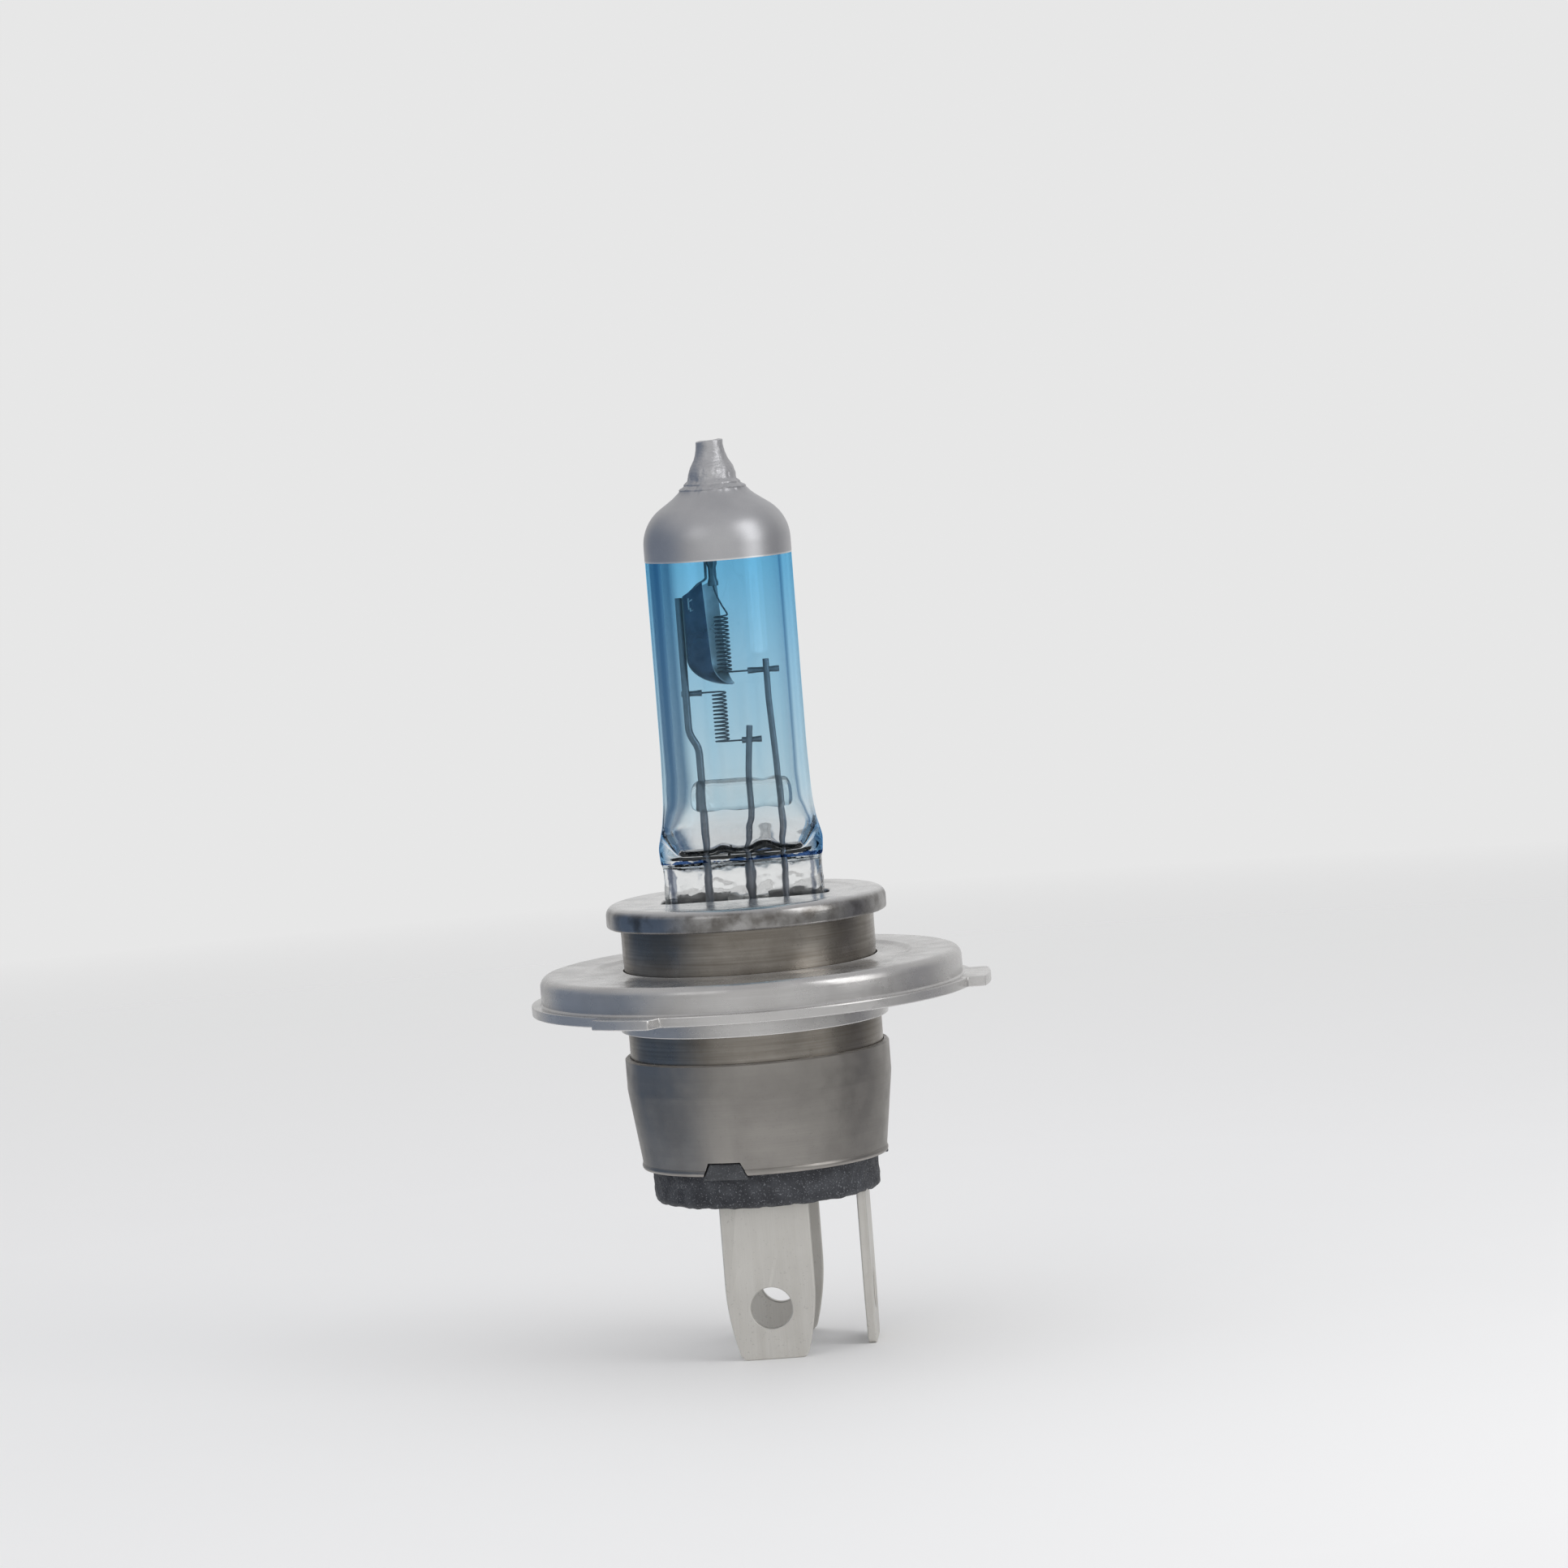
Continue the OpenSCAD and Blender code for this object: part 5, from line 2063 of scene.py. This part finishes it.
@dataclass(frozen=True)
class Studio:
    """A pale floor, soft lights and the camera."""

    azimuth: float = 3.5
    elevation: float = 4.7
    lean: float = 4.5
    distance: float = 0.62
    view_width: float = 141.0 * MM
    aim_right: float = 2.85 * MM
    aim_up: float = 18.3 * MM
    sensor: float = 36.0
    backdrop: float = 0.80
    daylight: Colour = (0.86, 0.86, 0.87)
    roof: Point = (0.3, 0.85)
    roof_colour: Colour = (0.46, 0.46, 0.47)
    floor_r: float = 1.2
    near_r: Point = (0.03, 0.10)
    fade_r: Point = (0.12, 0.42)

    def camera(self) -> None:
        """Sets the camera where the bulb leans to the left and its far side shows higher."""
        back = self.toward(self.azimuth, self.elevation)
        level = Vector((math.cos(math.radians(self.azimuth)), math.sin(math.radians(self.azimuth)), 0))
        rise = back.cross(level)
        lean = math.radians(self.lean)
        right = level * math.cos(lean) - rise * math.sin(lean)
        up = rise * math.cos(lean) + level * math.sin(lean)
        bpy.ops.object.camera_add()
        camera = bpy.context.object
        camera.name = "camera"
        camera.data.sensor_width = self.sensor
        camera.data.lens = self.sensor * self.distance / self.view_width
        camera.data.clip_start = 0.01
        camera.data.clip_end = 50
        spot = right * self.aim_right + up * self.aim_up + back * self.distance
        camera.matrix_world = Matrix.Translation(spot) @ Matrix((right, up, back)).transposed().to_4x4()
        bpy.context.scene.camera = camera

    @staticmethod
    def toward(azimuth: float, elevation: float) -> Vector:
        """The direction of a place round the bulb; azimuth 0 is the front and 90 is +X."""
        a, e = math.radians(azimuth), math.radians(elevation)
        return Vector((math.sin(a) * math.cos(e), -math.cos(a) * math.cos(e), math.sin(e)))

    def lamp(self, name: str, place: Point, away: float, size: Point, power: float) -> None:
        """Adds a soft box that faces the bulb.

        Args:
            name: its name.
            place: its azimuth and elevation, in degrees.
            away: its distance from the bulb's middle.
            size: its width and height.
            power: its power in watts.
        """
        back = self.toward(*place)
        bpy.ops.object.light_add(type="AREA")
        lamp = bpy.context.object
        lamp.name = name
        lamp.data.shape = "RECTANGLE"
        lamp.data.size, lamp.data.size_y = size
        lamp.data.energy = power
        lamp.location = back * away
        lamp.rotation_mode = "QUATERNION"
        lamp.rotation_quaternion = back.to_track_quat("Z", "Y")

    def lights(self) -> None:
        """Adds the soft boxes."""
        self.lamp("key_box", (62, 27), 0.28, (0.13, 0.26), 0.17)
        self.lamp("fill_box", (-30, 35), 0.70, (0.30, 0.30), 0.12)

    def surroundings(self) -> None:
        """Makes the world: pale to the camera, and a tent with darker sides to everything else.

        Each side is given in degrees from straight behind the bulb, positive towards +X.
        """
        slate, dusk, mist = (0.11, 0.165, 0.24), (0.11, 0.15, 0.22), (0.25, 0.32, 0.40)
        white, grey = (0.78,) * 3, (0.56,) * 3
        through = [(-180, grey), (-80, grey), (-62, mist), (-50, slate), (-20, slate), (-12, white),
                   (36, white), (46, mist), (60, mist), (78, grey), (180, grey)]
        glossed = [(-180, (0.58,) * 3), (-164, (0.56,) * 3), (-138, (0.38,) * 3), (-112, dusk),
                   (-52, dusk), (-36, (0.42,) * 3), (0, white), (30, grey), (52, (0.38,) * 3),
                   (70, (0.16, 0.16, 0.18)), (100, (0.20,) * 3), (118, (0.30,) * 3),
                   (150, (0.48,) * 3), (166, (0.58,) * 3), (180, (0.58,) * 3)]
        world = bpy.data.worlds.new("tent")
        bpy.context.scene.world = world
        world.use_nodes = True
        nodes = Nodes(world.node_tree, "ShaderNodeOutputWorld")
        way = nodes.add("SeparateXYZ", Vector=nodes.add("TexCoord").outputs["Generated"]).outputs
        around = nodes.ramp(nodes.math("ARCTAN2", way["X"], way["Y"]), -math.pi, math.pi)

        def walls(stops: Sequence[tuple[float, Colour]]) -> Socket:
            """The colour of the tent's walls by direction.

            Args:
                stops: directions in order, each with its colour.

            Returns:
                The colour.
            """
            node = nodes.add("ValToRGB", Fac=around)
            ramp = node.color_ramp.elements
            while len(ramp) < len(stops):
                ramp.new(0.5)
            for stop, (degrees, colour) in zip(ramp, stops):
                stop.position = degrees / 360 + 0.5
                stop.color = (*colour, 1)
            return node.outputs["Color"]

        path = nodes.add("LightPath").outputs
        tent = nodes.blend(path["Is Transmission Ray"], walls(glossed), walls(through))
        tent = nodes.blend(nodes.ramp(way["Z"], *self.roof), tent, self.roof_colour)
        tent = nodes.blend(path["Is Diffuse Ray"], tent, self.daylight)
        seen = nodes.blend(path["Is Camera Ray"], tent, (self.backdrop,) * 3)
        nodes.close(nodes.add("Background", Color=seen))

    def floor(self) -> None:
        """Lays a pale floor under the blade tips that fades out far from the bulb."""
        floor = begin("floor", bpy.ops.mesh.primitive_circle_add, vertices=96, radius=self.floor_r,
                      fill_type="NGON")
        move(floor, Matrix.Translation((0, 0, CAD_BOX[0].z - 0.01 * MM)))
        shades = Shades("pale_floor")
        mottle = shades.ramp(shades.cloud(20 * MM, 3.0), 0.3, 0.7, 0.0, 0.15)
        colour = shades.blend(mottle, (0.93, 0.93, 0.93), (0.90, 0.90, 0.905))
        away = shades.away()
        gloss = shades.add("LightPath").outputs["Is Glossy Ray"]
        unseen = shades.times(shades.ramp(away, *self.near_r), gloss)
        seen = shades.math("SUBTRACT", shades.ramp(away, *self.fade_r, 1.0, 0.0), unseen)
        card = shades.add("BsdfPrincipled", Base_Color=colour, Roughness=0.7,
                          Alpha=shades.math("MAXIMUM", seen, 0.0))
        floor.data.materials.append(shades.show(card))

    def build(self) -> None:
        """Sets up the whole scene."""
        self.camera()
        self.lights()
        self.surroundings()
        self.floor()
        bpy.context.scene.view_settings.view_transform = "Standard"


def main() -> None:
    """Builds the bulb's pieces in order, then the scene."""
    logging.basicConfig(level=logging.INFO, format="%(message)s")
    Studio().build()
    blades = Blades()
    for part in (Envelope(), Bridge(), Supports(), Shield(), Filaments(), CapPlate(), InnerSleeve(),
                 Flange(), BaseShell(), blades):
        part.build()
    Insulator().build(blades)
    WARDROBE.redress(["pinch_clamp", "lead_crimp_sleeves"], BRIGHT_STEEL)
    WARDROBE.redress(["common_lead", "high_beam_lead", "low_beam_lead"], TINNED_BRASS)


if __name__ == "__main__":
    main()
